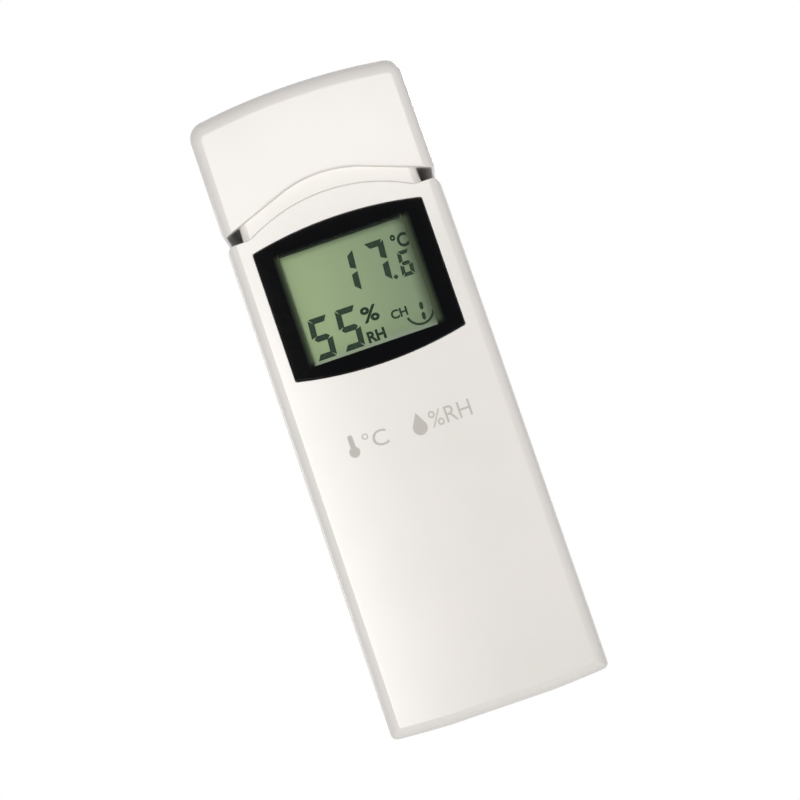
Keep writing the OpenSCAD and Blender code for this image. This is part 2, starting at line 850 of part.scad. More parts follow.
// Wire aerial that stands on the board
module aerial_coil() {
    color("peru") translate([board_half - aerial_in, y_board_back, z_lcd + aerial_rise]) rotate([-90, 0, 0])
        wire_tube(aerial_path, aerial_wire);
}

sensor_w = 5;
sensor_h = 1.6;
sensor_up = 1.5;
sensor_z = z_cap_mid + sensor_up;
port_r = 1.25;

// White humidity sensor with its round port, on the board's tongue
module humidity_sensor() {
    color("ivory") difference() {
        on_board(0, sensor_z, sensor_w, sensor_w, sensor_h);
        bar(0, sensor_z, y_board_back + sensor_h / 2, y_board_back + sensor_h + lap, port_r);
    }
}

bead_r = 1;
bead_l = 1.5;
bead_in = 2;
lead_r = 0.2;
lead_l = 2;

// Thermistor bead on its two leads near the tongue's end
module thermistor() {
    color("darkorange") {
        for (x = [-1, 1] * bead_r / 2)
            bar(x, tongue_top - bead_in, y_board_back, y_board_back + lead_l, lead_r);
        bar(0, tongue_top - bead_in, y_board_back + lead_l, y_board_back + lead_l + bead_l, bead_r);
    }
}

// Body of the selector switch with one slot per slider
module switch_body() {
    color("steelblue") difference() {
        on_board(0, z_switch, 2 * switch_half, switch_l, switch_h);
        for (i = [1:slider_count])
            box([slider_x(i) - slider_tip / 2 - slider_fit,
                 y_board_back + switch_h - slider_sunk - slider_fit,
                 z_switch - slider_slot / 2],
                [slider_x(i) + slider_tip / 2 + slider_fit,
                 y_board_back + switch_h + lap,
                 z_switch + slider_slot / 2]);
    }
}

// Place of a slider across the switch
function slider_x(i) = (i - (slider_count + 1) / 2) * slider_pitch;

// One small slider, at the lower end of its slot
module switch_slider(i) {
    z = z_switch - slider_slot / 2 + slider_fit;
    top = y_board_back + switch_h;
    color("white") box([slider_x(i) - slider_tip / 2, top - slider_sunk, z],
                       [slider_x(i) + slider_tip / 2, top + slider_proud, z + slider_tip]);
}

// Sleeve rim and insulating ring of an AA cell
cell_rim = 0.6;
cell_rim_in = 1.2;

// AA cell that stands on its flat end, with its nub up
module aa_cell() {
    r = cell_d / 2;
    body = cell_l - nub_h;
    rotate_extrude() polygon([
        [0, 0], [r - cell_rim_in, 0], [r - cell_rim_in, cell_rim / 2], [r - cell_rim / 2, cell_rim / 2],
        [r, cell_rim], [r, body - cell_rim], [r - cell_rim / 2, body], [r - cell_rim_in, body],
        [r - cell_rim_in, body - cell_rim / 2], [nub_d / 2, body - cell_rim / 2],
        [nub_d / 2, cell_l - cell_rim / 4], [nub_d / 2 - cell_rim / 4, cell_l], [0, cell_l]
    ]);
}

// Left cell, nub up
module aa_cell_left() {
    color("darkgreen") translate([-cell_x, y_cell, z_bay + contact_t + spring_l]) aa_cell();
}

// Right cell, nub down
module aa_cell_right() {
    color("darkgreen") translate([cell_x, y_cell, z_bay_top - contact_t - spring_l])
        mirror([0, 0, 1]) aa_cell();
}

plate_half = 5;
dimple_r = 1.6;

// Flat plate across the foot of the bay that joins the two cells
module link_contact() {
    color("silver") {
        box([-cell_x - plate_half, y_cell - plate_half, z_bay],
            [cell_x + plate_half, y_cell + plate_half, z_bay + contact_t]);
        translate([cell_x, y_cell, z_bay + contact_t - lap]) cylinder(h = dimple_h + lap, r = dimple_r);
    }
}

tab_rise = 3;

// Contact plate at the top of the bay, with a tab that runs up on to the board
module top_plate(x) {
    box([x - plate_half, y_cell - plate_half, z_bay_top - contact_t],
        [x + plate_half, y_cell + plate_half, z_bay_top]);
    box([x - tab_w / 2, y_board_back, z_bay_top - contact_t],
        [x + tab_w / 2, y_board_back + contact_t, z_shelf + tab_rise]);
}

// Contact for the left cell's nub
module positive_contact() {
    color("silver") {
        top_plate(-cell_x);
        translate([-cell_x, y_cell, z_bay_top - contact_t - dimple_h])
            cylinder(h = dimple_h + lap, r = dimple_r);
    }
}

// Contact that carries the right cell's spring
module negative_contact() {
    color("silver") top_plate(cell_x);
}

// Spring under the left cell
module lower_spring() {
    color("silver") translate([-cell_x, y_cell, z_bay + contact_t]) wire_tube(spring_path, spring_wire);
}

// Spring above the right cell
module upper_spring() {
    color("silver") translate([cell_x, y_cell, z_bay_top - contact_t]) mirror([0, 0, 1])
        wire_tube(spring_path, spring_wire);
}

front_case();
rear_case();
battery_door();
display_window();
window_border();
lcd_film();
lcd_front_glass();
lcd_rear_glass();
lcd_reflector();
lcd_holder();
contact_strips();
main_board();
board_screws();
case_screws();
controller_blob();
radio_board();
radio_shield();
crystal_can();
capacitor();
chip_parts();
aerial_coil();
humidity_sensor();
thermistor();
switch_body();
switch_slider(1);  // switch_slider_1
switch_slider(2);  // switch_slider_2
switch_slider(3);  // switch_slider_3
switch_slider(4);  // switch_slider_4
aa_cell_left();
aa_cell_right();
link_contact();
positive_contact();
negative_contact();
lower_spring();
upper_spring();
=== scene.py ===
# A slim wireless temperature and humidity sensor, dressed piece by piece in the order in which it is
# put together: shells, window, display, board, switch, battery bay, cells, door, and then the studio.
import math

import bmesh
import bpy
from mathutils import Matrix, Vector


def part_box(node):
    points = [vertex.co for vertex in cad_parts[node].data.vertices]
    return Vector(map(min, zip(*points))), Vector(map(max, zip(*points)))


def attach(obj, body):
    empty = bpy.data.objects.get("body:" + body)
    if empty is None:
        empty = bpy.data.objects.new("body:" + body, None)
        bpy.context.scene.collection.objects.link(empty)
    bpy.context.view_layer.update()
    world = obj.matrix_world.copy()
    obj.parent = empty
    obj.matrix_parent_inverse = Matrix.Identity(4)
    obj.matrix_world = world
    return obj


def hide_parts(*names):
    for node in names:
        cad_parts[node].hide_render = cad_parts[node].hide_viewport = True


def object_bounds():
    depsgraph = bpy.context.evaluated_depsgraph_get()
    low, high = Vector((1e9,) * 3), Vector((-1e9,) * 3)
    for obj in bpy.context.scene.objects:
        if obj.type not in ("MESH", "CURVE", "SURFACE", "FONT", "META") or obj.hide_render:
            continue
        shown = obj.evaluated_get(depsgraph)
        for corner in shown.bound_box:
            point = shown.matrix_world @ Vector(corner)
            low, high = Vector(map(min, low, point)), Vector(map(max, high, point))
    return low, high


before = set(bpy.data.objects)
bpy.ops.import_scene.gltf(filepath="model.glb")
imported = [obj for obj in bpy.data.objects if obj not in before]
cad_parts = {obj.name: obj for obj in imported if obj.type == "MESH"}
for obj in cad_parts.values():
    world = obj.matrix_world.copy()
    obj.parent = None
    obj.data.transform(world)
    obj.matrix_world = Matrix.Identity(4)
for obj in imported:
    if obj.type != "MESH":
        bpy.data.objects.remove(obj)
cad_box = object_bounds()


# Front shell: the moulding that carries everything else, with the cap, the vented neck and the pocket
# for the window. It is injection-moulded ABS, warm white, with a fine satin skin and broken edges.
MM = 0.001
SHARP = math.radians(32)
SLIVER = 0.025 * MM
FLAT = math.radians(0.15)
PARTING_Y = 1.0 * MM
EDGE_BREAK = 0.14 * MM
SLOT_X = 17.2 * MM
SLOT_LOW = 94.5 * MM
SLOT_HIGH = 96.5 * MM
SLOT_BACK = 6.0 * MM
NECK_RIM = 0.35 * MM
front_face, back_face = cad_box[0].y, cad_box[1].y


def choose(piece):
    """Leaves this piece alone selected and active."""
    bpy.ops.object.select_all(action="DESELECT")
    piece.select_set(True)
    bpy.context.view_layer.objects.active = piece


def everything():
    """Selects the whole piece, in edit mode."""
    bpy.ops.mesh.select_all(action="SELECT")


def edit(piece, action="DESELECT"):
    """Opens a piece in edit mode with nothing selected, or with everything."""
    choose(piece)
    bpy.ops.object.mode_set(mode="EDIT")
    bpy.ops.mesh.select_all(action=action)


def done(outward=False):
    """Closes edit mode, after turning every face outwards if asked."""
    if outward:
        everything()
        bpy.ops.mesh.normals_make_consistent(inside=False)
    bpy.ops.object.mode_set(mode="OBJECT")


def pick(piece, kind, wanted):
    """Selects, in edit mode, the faces, edges or corners that pass a test, and nothing else."""
    bpy.ops.mesh.select_mode(type={"faces": "FACE", "edges": "EDGE", "verts": "VERT"}[kind])
    bpy.ops.mesh.select_all(action="DESELECT")
    mesh = bmesh.from_edit_mesh(piece.data)
    for part in getattr(mesh, kind):
        if wanted(part):
            part.select_set(True)
    mesh.select_flush_mode()
    bmesh.update_edit_mesh(piece.data)


def middle(edge):
    """Middle point of an edge."""
    return (edge.verts[0].co + edge.verts[1].co) / 2


def add(name, data):
    """Puts a mesh or curve in the scene as a new piece."""
    piece = bpy.data.objects.new(name, data)
    bpy.context.collection.objects.link(piece)
    return piece


def cad_copy(node, name):
    """A copy of a CAD piece with its loose triangles merged and its flat faces made whole."""
    piece = add(name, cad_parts[node].data.copy())
    choose(piece)
    bpy.ops.mesh.customdata_custom_splitnormals_clear()
    edit(piece, "SELECT")
    bpy.ops.mesh.remove_doubles(threshold=SLIVER)
    bpy.ops.mesh.dissolve_degenerate(threshold=SLIVER / 10)
    bpy.ops.mesh.dissolve_limited(angle_limit=FLAT)
    done()
    return piece


def break_edges(piece, width, wanted=lambda edge: True, segments=2):
    """Rounds the sharp edges that pass a test."""
    edit(piece)
    pick(piece, "edges", lambda edge: len(edge.link_faces) == 2
         and edge.calc_face_angle() > SHARP and wanted(edge))
    bpy.ops.mesh.bevel(offset=width, segments=segments, clamp_overlap=False)
    done()


def smooth(piece):
    """Shades a piece smooth between its sharp edges, with its flat faces kept flat."""
    choose(piece)
    bpy.ops.object.shade_smooth_by_angle(angle=SHARP)
    bpy.ops.object.modifier_add(type="WEIGHTED_NORMAL")
    piece.modifiers[-1].keep_sharp = True
    bpy.ops.object.modifier_apply(modifier=piece.modifiers[-1].name)
    return piece


class Socket:
    """A shader socket of one material. Sums and products of sockets add their own Math nodes."""

    def __init__(self, tree, link=None):
        self.tree = tree
        self.link = link

    def node(self, kind, inputs, out=0, **settings):
        """Adds any node: its settings first, then its sockets' values or links."""
        made = self.tree.nodes.new("ShaderNode" + kind)
        for name, value in settings.items():
            setattr(made, name, value)
        for name, value in inputs.items():
            if isinstance(value, Socket):
                self.tree.links.new(value.link, made.inputs[name])
            else:
                made.inputs[name].default_value = value
        return Socket(self.tree, made.outputs[out] if made.outputs else None)

    def math(self, operation, *values):
        return self.node("Math", dict(enumerate(values)), operation=operation)

    def __add__(self, other):
        return self.math("ADD", self, other)

    def __sub__(self, other):
        return self.math("SUBTRACT", self, other)

    def __rsub__(self, other):
        return self.math("SUBTRACT", other, self)

    def __mul__(self, other):
        return self.math("MULTIPLY", self, other)

    __radd__, __rmul__ = __add__, __mul__

    def __truediv__(self, other):
        return self.math("DIVIDE", self, other)

    def __abs__(self):
        return self.math("ABSOLUTE", self)

    def most(self, other):
        return self.math("MAXIMUM", self, other)

    def least(self, other):
        return self.math("MINIMUM", self, other)

    def hypot(self, other):
        return self.math("SQRT", self * self + other * other)

    def ramp(self, low, high):
        """0 below low, 1 above high, and a smooth rise between."""
        return self.node("MapRange", {"Value": self, "From Min": low, "From Max": high},
                         interpolation_type="SMOOTHSTEP")

    def mix(self, first, second):
        """The first colour where this socket is 0, and the second where it is 1."""
        return self.node("Mix", {0: self, 6: first, 7: second}, out=2, data_type="RGBA")

    def bump(self, strength, depth):
        """A normal that follows this socket as a height."""
        return self.node("Bump", {"Height": self, "Strength": strength, "Distance": depth})

    def axes(self):
        """The X, Y and Z of this place."""
        return [self.node("SeparateXYZ", {"Vector": self}, out=axis) for axis in "XYZ"]

    def noise(self, size, detail=2.0):
        """Soft noise over this place, with features of about this size."""
        return self.node("TexNoise", {"Vector": self, "Scale": 1 / size, "Detail": detail})

    def finish(self, inputs):
        """Sets the surface of the material."""
        self.node("OutputMaterial", {"Surface": self.node("BsdfPrincipled", inputs)})


def rgb(red, green, blue):
    """A colour given as it looks on screen, from 0 to 255, in the linear light that shaders use."""
    def linear(value):
        share = value / 255
        return share / 12.92 if share <= 0.04045 else ((share + 0.055) / 1.055) ** 2.4
    return (linear(red), linear(green), linear(blue), 1)


def start_finish(name):
    """An empty material, and its Object coordinates as the socket that its other nodes start from."""
    material = bpy.data.materials.new(name)
    material.use_nodes = True
    material.node_tree.nodes.clear()
    return material, Socket(material.node_tree).node("TexCoord", {}, out="Object")


def fit(piece, slot, material, *nodes, body="case"):
    """Gives a finished piece its material, the CAD pieces it stands for and the body that it rides on."""
    piece.data.materials.clear()
    piece.data.materials.append(material)
    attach(piece, body)
    if nodes:
        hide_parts(*nodes)


def dress(node, name, slot, material, width, wanted=lambda edge: True, segments=2, body="case"):
    """Puts a smooth copy of a CAD piece, with its edges broken, in the place of that piece."""
    piece = cad_copy(node, name)
    break_edges(piece, width, wanted, segments)
    fit(smooth(piece), slot, material, node, body=body)


def white_plastic():
    """Warm white ABS: very fine spark-eroded grain, faint cloudiness, and painted shade deep in the side
    slots.
    """
    material, place = start_finish("white_plastic")
    x, y, z = place.axes()
    grain = place.noise(0.22 * MM, 3)
    cloud = place.noise(14 * MM)
    clean = cloud.ramp(0.3, 0.7).mix(rgb(244, 240, 235), rgb(241, 239, 233))
    # Painted shade in the side slots: below the cap the colour darkens with depth into each slot, most at
    # the inner end and less towards the outside and the cap, by the strength in settled.
    beside = abs(x).ramp(SLOT_X - 0.4 * MM, SLOT_X + 0.1 * MM)
    above_floor = z.ramp(SLOT_LOW - 0.1 * MM, SLOT_LOW + 0.05 * MM)
    under = 1.3 * MM * (1 - abs(x).ramp(SLOT_X + 1.6 * MM, SLOT_X + 2.6 * MM))
    below_cap = 1 - (z - under).ramp(SLOT_HIGH - 0.1 * MM, SLOT_HIGH + 0.4 * MM)
    behind = (y.ramp(front_face + 0.6 * MM, front_face + 2.2 * MM)
              * (1 - y.ramp(SLOT_BACK, SLOT_BACK + 0.3 * MM)))
    outer = abs(x).ramp(SLOT_X + 0.6 * MM, SLOT_X + 2.8 * MM)
    upper = z.ramp(SLOT_LOW + 0.8 * MM, SLOT_HIGH + 0.4 * MM)
    settled = 0.99 - 0.4 * outer - 0.2 * upper
    painted_slot_shade = settled * beside * above_floor * below_cap * behind
    place.finish({"Base Color": painted_slot_shade.mix(clean, rgb(24, 21, 21)), "Roughness": 0.185 + 0.05 * grain,
                  "Specular IOR Level": 0.5, "Normal": grain.bump(0.12, 0.012 * MM)})
    return material


def parting_rim(edge):
    """True on the outer edge of the joint between the two shells."""
    place = middle(edge)
    if abs(place.y - PARTING_Y) > SLIVER:
        return False
    outward = Vector((place.x, 0, place.z - (cad_box[0].z + cad_box[1].z) / 2))
    return any(abs(face.normal.y) < 0.5 and face.normal.dot(outward) > 0 for face in edge.link_faces)


def slot_rim(edge):
    """True on the edges of the two side slots."""
    place = middle(edge)
    return (abs(place.x) > SLOT_X - 0.3 * MM and SLOT_LOW - 1.5 * MM < place.z < SLOT_HIGH + 1.5 * MM
            and place.y < SLOT_BACK - SLIVER)


def neck_rim(edge):
    """True on the body's and the cap's edges along the neck band."""
    place = middle(edge)
    return (abs(place.x) < SLOT_X - 0.3 * MM and place.y < front_face + SLIVER
            and SLOT_LOW - 0.5 * MM < place.z < SLOT_HIGH + 8 * MM)


white = white_plastic()
front_shell = cad_copy("front_case", "front_shell")
break_edges(front_shell, NECK_RIM, neck_rim, segments=4)
break_edges(front_shell, EDGE_BREAK, lambda edge: middle(edge).y < front_face + 1.5 * MM
            or parting_rim(edge) or slot_rim(edge))
fit(smooth(front_shell), "white_case", white, "front_case")


# Display window: a plate of clear acrylic set flush into the front, printed gloss black from behind
# around its clear opening. Its rim is polished round, so it catches the light. The display's film reaches
# a little further to the left and below than the glass, and beside it the window carries a band of
# painted shade, for the shadow of the frame around the display.
clear_low, clear_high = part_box("lcd_film")
clear_side = 1.4 * MM
clear_rise = 0.3 * MM
clear_half = clear_high.x + clear_side
clear_mid = (clear_low.z + clear_high.z) / 2
clear_reach = (clear_high.z - clear_low.z) / 2 + clear_rise
film_spare = 0.45 * MM
film_left = clear_low.x - film_spare
film_right = clear_high.x
film_foot = clear_low.z - clear_rise
film_half = (film_right - film_left) / 2


def printed_window():
    """Clear acrylic over gloss black ink, left out over the display, with a band of painted shade at its
    sides.
    """
    material, place = start_finish("printed_window")
    x, y, z = place.axes()
    soft = 0.03 * MM
    beside = abs(x).ramp(clear_half - soft, clear_half + soft)
    above = abs(z - clear_mid).ramp(clear_reach - soft, clear_reach + soft)
    ink = beside.most(above)
    haze = place.noise(1.5 * MM)
    # Painted shade: a dark band beside the film, darker outwards and towards its ends, stands in for the
    # shadow of the frame around the display.
    off_film = abs(x - (film_left + film_right) / 2)
    painted_shade_band = off_film.ramp(film_half - 0.25 * MM, film_half + 0.1 * MM)
    outward = abs(x).ramp(film_half, clear_half)
    ends = abs(z - clear_mid).ramp(clear_reach - 1.2 * MM, clear_reach)
    band = ends.mix(outward.mix(rgb(74, 88, 64), rgb(28, 33, 29)), rgb(16, 18, 16))
    colour = ink.mix(painted_shade_band.mix(rgb(120, 130, 116), band), rgb(5, 6, 8))
    veil = 0.03 + 0.9 * painted_shade_band
    rim = y.ramp(front_face + 0.02 * MM, front_face + 0.12 * MM)
    place.finish({"Base Color": colour, "Roughness": 0.05 + 0.04 * haze, "Coat Weight": rim,
                  "Specular IOR Level": 0.04, "Alpha": veil.most(ink)})
    return material


def speckled(name, size, dark, light, rough, spread, specular, detail=2.0, relief=None, cloud=None, **more):
    """A finish that varies with one fine noise, from dark and glossy to light and rough by a spread.

    The noise can stand up as a relief, and the colour can follow a coarser cloud with its own spread."""
    material, place = start_finish(name)
    speck = tone = place.noise(size, detail)
    roughness = rough + spread * speck
    if cloud:
        tone = place.noise(cloud[0])
        roughness += cloud[1] * tone
    if relief:
        more["Normal"] = speck.bump(*relief)
    place.finish({"Base Color": tone.mix(rgb(*dark), rgb(*light)), "Roughness": roughness,
                  "Specular IOR Level": specular, **more})
    return material


dress("display_window", "window_pane", "clear_window", printed_window(), 0.3 * MM,
      lambda edge: middle(edge).y < front_face + SLIVER, segments=3)
black_ink = speckled("black_ink", 0.4 * MM, (5, 6, 7), (10, 11, 13), 0.35, 0.1, 0.2)
fit(cad_copy("window_border", "window_border_print"), "black_print", black_ink, "window_border")


# Display holder: the frame behind the window that presses the display against the front wall. It is
# moulded in matt dark plastic with a fine grain. Beside the reading it lies behind the window's band of
# painted shade, which makes the dark strips there.
dark_plastic = speckled("dark_plastic", 0.3 * MM, (38, 44, 38), (52, 58, 50), 0.55, 0.15, 0.1,
                        detail=3, relief=(0.2, 0.02 * MM))
dress("lcd_holder", "display_holder", "dark_plastic", dark_plastic, 0.12 * MM)


# Liquid crystal display: two cut glass plates, tinted green, with the crystal between them, a grey-green
# polarising film on the front and a satin foil reflector behind. The plates are ground only lightly.
GLASS_EDGE = 0.05 * MM


def display_film():
    """Polarising film lit by the foil behind it: yellow-green, duller to the right, with painted shade
    along its sides and top where the frame in front shadows it, and paler along its foot.
    """
    material, place = start_finish("display_film")
    x, _, z = place.axes()
    left, right, low, top = film_left, film_right, film_foot, clear_high.z
    foil = place.noise(0.12 * MM, 2)
    body = x.ramp(left, right).mix(rgb(171, 195, 147), rgb(143, 164, 130))
    # Painted shade: the right, left and top edges of the film darken where the frame in front of it would
    # shadow them.
    right_shade = x.ramp(right - 2.4 * MM, right + 0.4 * MM)
    left_shade = 1 - x.ramp(left - 0.3 * MM, left + 0.4 * MM)
    top_shade = z.ramp(top - 1.4 * MM, top + 0.3 * MM)
    shade = 0.75 * right_shade + 0.25 * left_shade + 0.55 * top_shade
    shaded_film = shade.least(0.85).mix(body, rgb(62, 76, 60))
    foot = 0.6 * (1 - z.ramp(low, low + 1.8 * MM))
    dotted = (0.1 * foil).mix(foot.mix(shaded_film, rgb(186, 200, 184)), rgb(200, 216, 172))
    place.finish({"Base Color": dotted, "Roughness": 0.42 + 0.1 * foil, "Specular IOR Level": 0.08})
    return material


film = cad_copy("lcd_film", "display_film")
edit(film)
pick(film, "verts", lambda corner: corner.co.x < 0)
bpy.ops.transform.translate(value=(film_left - clear_low.x, 0, 0))
pick(film, "verts", lambda corner: corner.co.z < clear_mid)
bpy.ops.transform.translate(value=(0, 0, film_foot - clear_low.z))
done()
break_edges(film, GLASS_EDGE)
fit(smooth(film), "display_green", display_film(), "lcd_film")
# The glass is a dark, nearly opaque green: partly the tint of cut glass, partly painted shade for the dark
# gap beside the film.
cut_glass = speckled("cut_glass", 3 * MM, (50, 60, 50), (58, 68, 57), 0.12, 0.06, 0.1, Alpha=0.96)
reflector_foil = speckled("reflector_foil", 0.1 * MM, (198, 202, 188), (222, 224, 212), 0.32, 0.2, 0.5,
                          detail=3, relief=(0.3, 0.01 * MM), Metallic=1.0)
dress("lcd_front_glass", "display_front_glass", "display_glass", cut_glass, GLASS_EDGE)
dress("lcd_rear_glass", "display_rear_glass", "display_glass", cut_glass, GLASS_EDGE)
dress("lcd_reflector", "display_reflector", "reflector", reflector_foil, GLASS_EDGE)


# Reading: the dark segments that the display shows, a temperature above and a humidity below, with
# their units and a channel mark. Each is a thin plate on the film, slanted as such figures are.
film_face = clear_low.y
FRONT, BACK = -1, 1
SEGMENT_T = 0.03 * MM
SEGMENT_GAP = 0.2 * MM
POINT = 0.9 * MM
POINTED = 0.44
FINE_STROKE = 0.71
GLYPH_SLIVER = 0.002
SLANT = math.tan(math.radians(4.5))
MITRES = {"a": (-1, 0.7, 0.6), "b": (1, 0.4, 0.8), "c": (1, 0.8, 0.4), "d": (1, 0.6, 0.7),
          "e": (-1, 0.8, 0.4), "f": (-1, 0.4, 0.8)}
LIT = {"1": "bc", "5": "acdfg", "6": "acdefg", "7": "abc"}


def settled():
    """The piece just added, with its place, turn and scale put into its mesh."""
    piece = bpy.context.object
    choose(piece)
    bpy.ops.object.transform_apply(location=True, rotation=True, scale=True)
    return piece


def join(pieces, name):
    """Makes several pieces one."""
    choose(pieces[0])
    for piece in pieces:
        piece.select_set(True)
    bpy.ops.object.join()
    pieces[0].name = name
    return pieces[0]


def pull(*step):
    """Extrudes the selected faces by a step, in edit mode."""
    bpy.ops.mesh.extrude_region_move(TRANSFORM_OT_translate={"value": step})


def thicken(piece, depth):
    """Gives a flat plate its thickness along Y."""
    edit(piece, "SELECT")
    pull(0, depth, 0)
    done(outward=True)


def bar(start, end, width, mitre=None):
    """A segment on the film, pointed at both ends or cut back on one side, as a share of its width."""
    along = end - start
    bpy.ops.mesh.primitive_plane_add(size=1)
    piece = bpy.context.object
    edit(piece, "SELECT")
    bpy.ops.transform.resize(value=(along.length, width, 1))
    if mitre:
        for end_side, share in ((-1, mitre[1]), (1, mitre[2])):
            pick(piece, "verts", lambda corner: mitre[0] * corner.co.y > 0 and end_side * corner.co.x > 0)
            bpy.ops.transform.translate(value=(-end_side * share * width, 0, 0))
    else:
        bpy.ops.mesh.bevel(offset=POINTED * width, affect="VERTICES")
    done()
    centre = (start + end) / 2
    piece.data.transform(Matrix.Translation((centre.x, film_face, centre.y))
                         @ Matrix.Rotation(math.radians(90), 4, "X")
                         @ Matrix.Rotation(math.atan2(along.y, along.x), 4, "Z"))
    thicken(piece, -SEGMENT_T)
    return piece


def digit(figure, left, bottom, width, height, stroke):
    """The segments of one figure, from its lower left corner on the film, in millimetres."""
    low, mid, top = stroke / 2, height / 2, height - stroke / 2
    near, far = stroke / 2, width - stroke / 2
    runs = {"a": ((0, top), (width, top)), "b": ((far, mid), (far, height)), "c": ((far, 0), (far, mid)),
            "d": ((0, low), (width, low)), "e": ((near, 0), (near, mid)),
            "f": ((near, mid), (near, height)), "g": ((near / 2, mid), (width - near / 2, mid))}
    bars = []
    for name in LIT[figure]:
        start, end = [Vector(((left + x + SLANT * z) * MM, clear_mid + (bottom + z) * MM))
                      for x, z in runs[name]]
        step = (end - start).normalized() * SEGMENT_GAP
        mitre = MITRES.get(name) if stroke > FINE_STROKE else None
        bars.append(bar(start + step, end - step, stroke * MM, mitre))
    return bars


def lettering(text, centre, size, face, side, depth, weight=0.0):
    """Flat characters, of a size in millimetres, raised on a face that looks to the front or back."""
    bpy.ops.object.text_add()
    piece = bpy.context.object
    piece.data.body = text
    piece.data.offset = weight
    bpy.ops.object.convert(target="MESH")
    edit(piece, "SELECT")
    bpy.ops.mesh.remove_doubles(threshold=GLYPH_SLIVER)
    bpy.ops.mesh.dissolve_degenerate(threshold=GLYPH_SLIVER)
    bpy.ops.mesh.delete_loose()
    done()
    low = [min(v.co[i] for v in piece.data.vertices) for i in (0, 1)]
    high = [max(v.co[i] for v in piece.data.vertices) for i in (0, 1)]
    scale = Matrix.Diagonal([MM * wide / (b - a) for wide, a, b in zip(size, low, high)] + [1, 1])
    to_middle = Matrix.Translation([-(a + b) / 2 for a, b in zip(low, high)] + [0])
    stand = Matrix.Rotation(math.radians(90), 4, "X")
    if side == BACK:
        stand = Matrix.Rotation(math.radians(180), 4, "Z") @ stand
    place = Matrix.Translation((centre[0], face, centre[1]))
    piece.data.transform(place @ stand @ scale @ to_middle)
    thicken(piece, side * depth)
    return piece


def channel_arc(x, z, radius, width):
    """The open ring round the channel number: part of a circle, widened outwards."""
    first, last = math.radians(193), math.radians(350)
    centre = Vector((x * MM, film_face, clear_mid + z * MM))
    bpy.ops.mesh.primitive_circle_add(vertices=90, radius=radius * MM, fill_type="NOTHING",
                                      location=centre, rotation=(math.radians(90), 0, 0))
    ring = settled()
    edit(ring)

    def outside(edge):
        place = middle(edge) - centre
        return not first < math.atan2(place.z, place.x) % math.tau < last
    pick(ring, "edges", outside)
    bpy.ops.mesh.delete(type="EDGE")
    everything()
    bpy.ops.mesh.extrude_edges_indiv()
    grow = 1 + width / radius
    bpy.ops.transform.resize(value=(grow, 1, grow), center_override=centre)
    done()
    thicken(ring, -SEGMENT_T)
    return ring


reading = []
for figure in (("1", -3.55, -0.1, 4.1, 7.9, 1.15), ("7", 2.75, -0.1, 3.7, 7.9, 1.15),
               ("6", 8.3, -0.3, 2.4, 4.8, 0.72), ("5", -11.35, -9.85, 3.8, 7.8, 1.1),
               ("5", -6.15, -9.85, 4.0, 7.8, 1.1), ("1", 8.95, -9.1, 0.95, 3.8, 0.7)):
    reading += digit(*figure)
for text, x, z, size, weight in (
        ("°C", 9.9, 6.4, (3.1, 2.8), 0.03), ("%", 0.45, -4.6, (3.2, 3.0), 0.025),
        ("RH", 0.35, -8.7, (3.4, 2.1), 0.04), ("CH", 5.55, -6.2, (3.1, 1.7), 0.03)):
    centre = (x * MM, clear_mid + z * MM)
    reading.append(lettering(text, centre, size, film_face, FRONT, SEGMENT_T, weight))
reading.append(channel_arc(9.15, -6.95, 2.3, 0.42))
point_left = Vector((6.7 * MM, clear_mid + 0.25 * MM))
reading.append(bar(point_left, point_left + Vector((POINT, 0)), POINT))
dark_crystal = speckled("dark_crystal", 0.8 * MM, (31, 50, 35), (43, 64, 46), 0.4, 0.15, 0.08)
fit(join(reading, "display_reading"), "black_print", dark_crystal)


# Contact strips: two bars of layered silicone rubber, carbon-filled and plain in turn, squeezed between
# the display's glass ledges and the board so that each contact joins its own pad.
def layered_rubber():
    """Fine dark and pale layers across the strip."""
    material, place = start_finish("layered_rubber")
    x = place.axes()[0]
    pitch = 0.2 * MM
    layer = x.math("PINGPONG", x / pitch, 0.5).ramp(0.2, 0.3)
    smear = place.noise(0.5 * MM)
    place.finish({"Base Color": layer.mix(rgb(34, 34, 36), rgb(196, 150, 146)),
                  "Roughness": 0.6 + 0.2 * smear, "Specular IOR Level": 0.2})
    return material


dress("contact_strips", "contact_strip_pair", "contact_rubber", layered_rubber(), 0.15 * MM)


# Main board: glass-fibre laminate under green solder mask, with tinned via holes and tracks. It sits on
# four standoffs behind the display, with a tab down to the switch and a tongue up into the cap.
BOARD_EDGE = 0.06 * MM


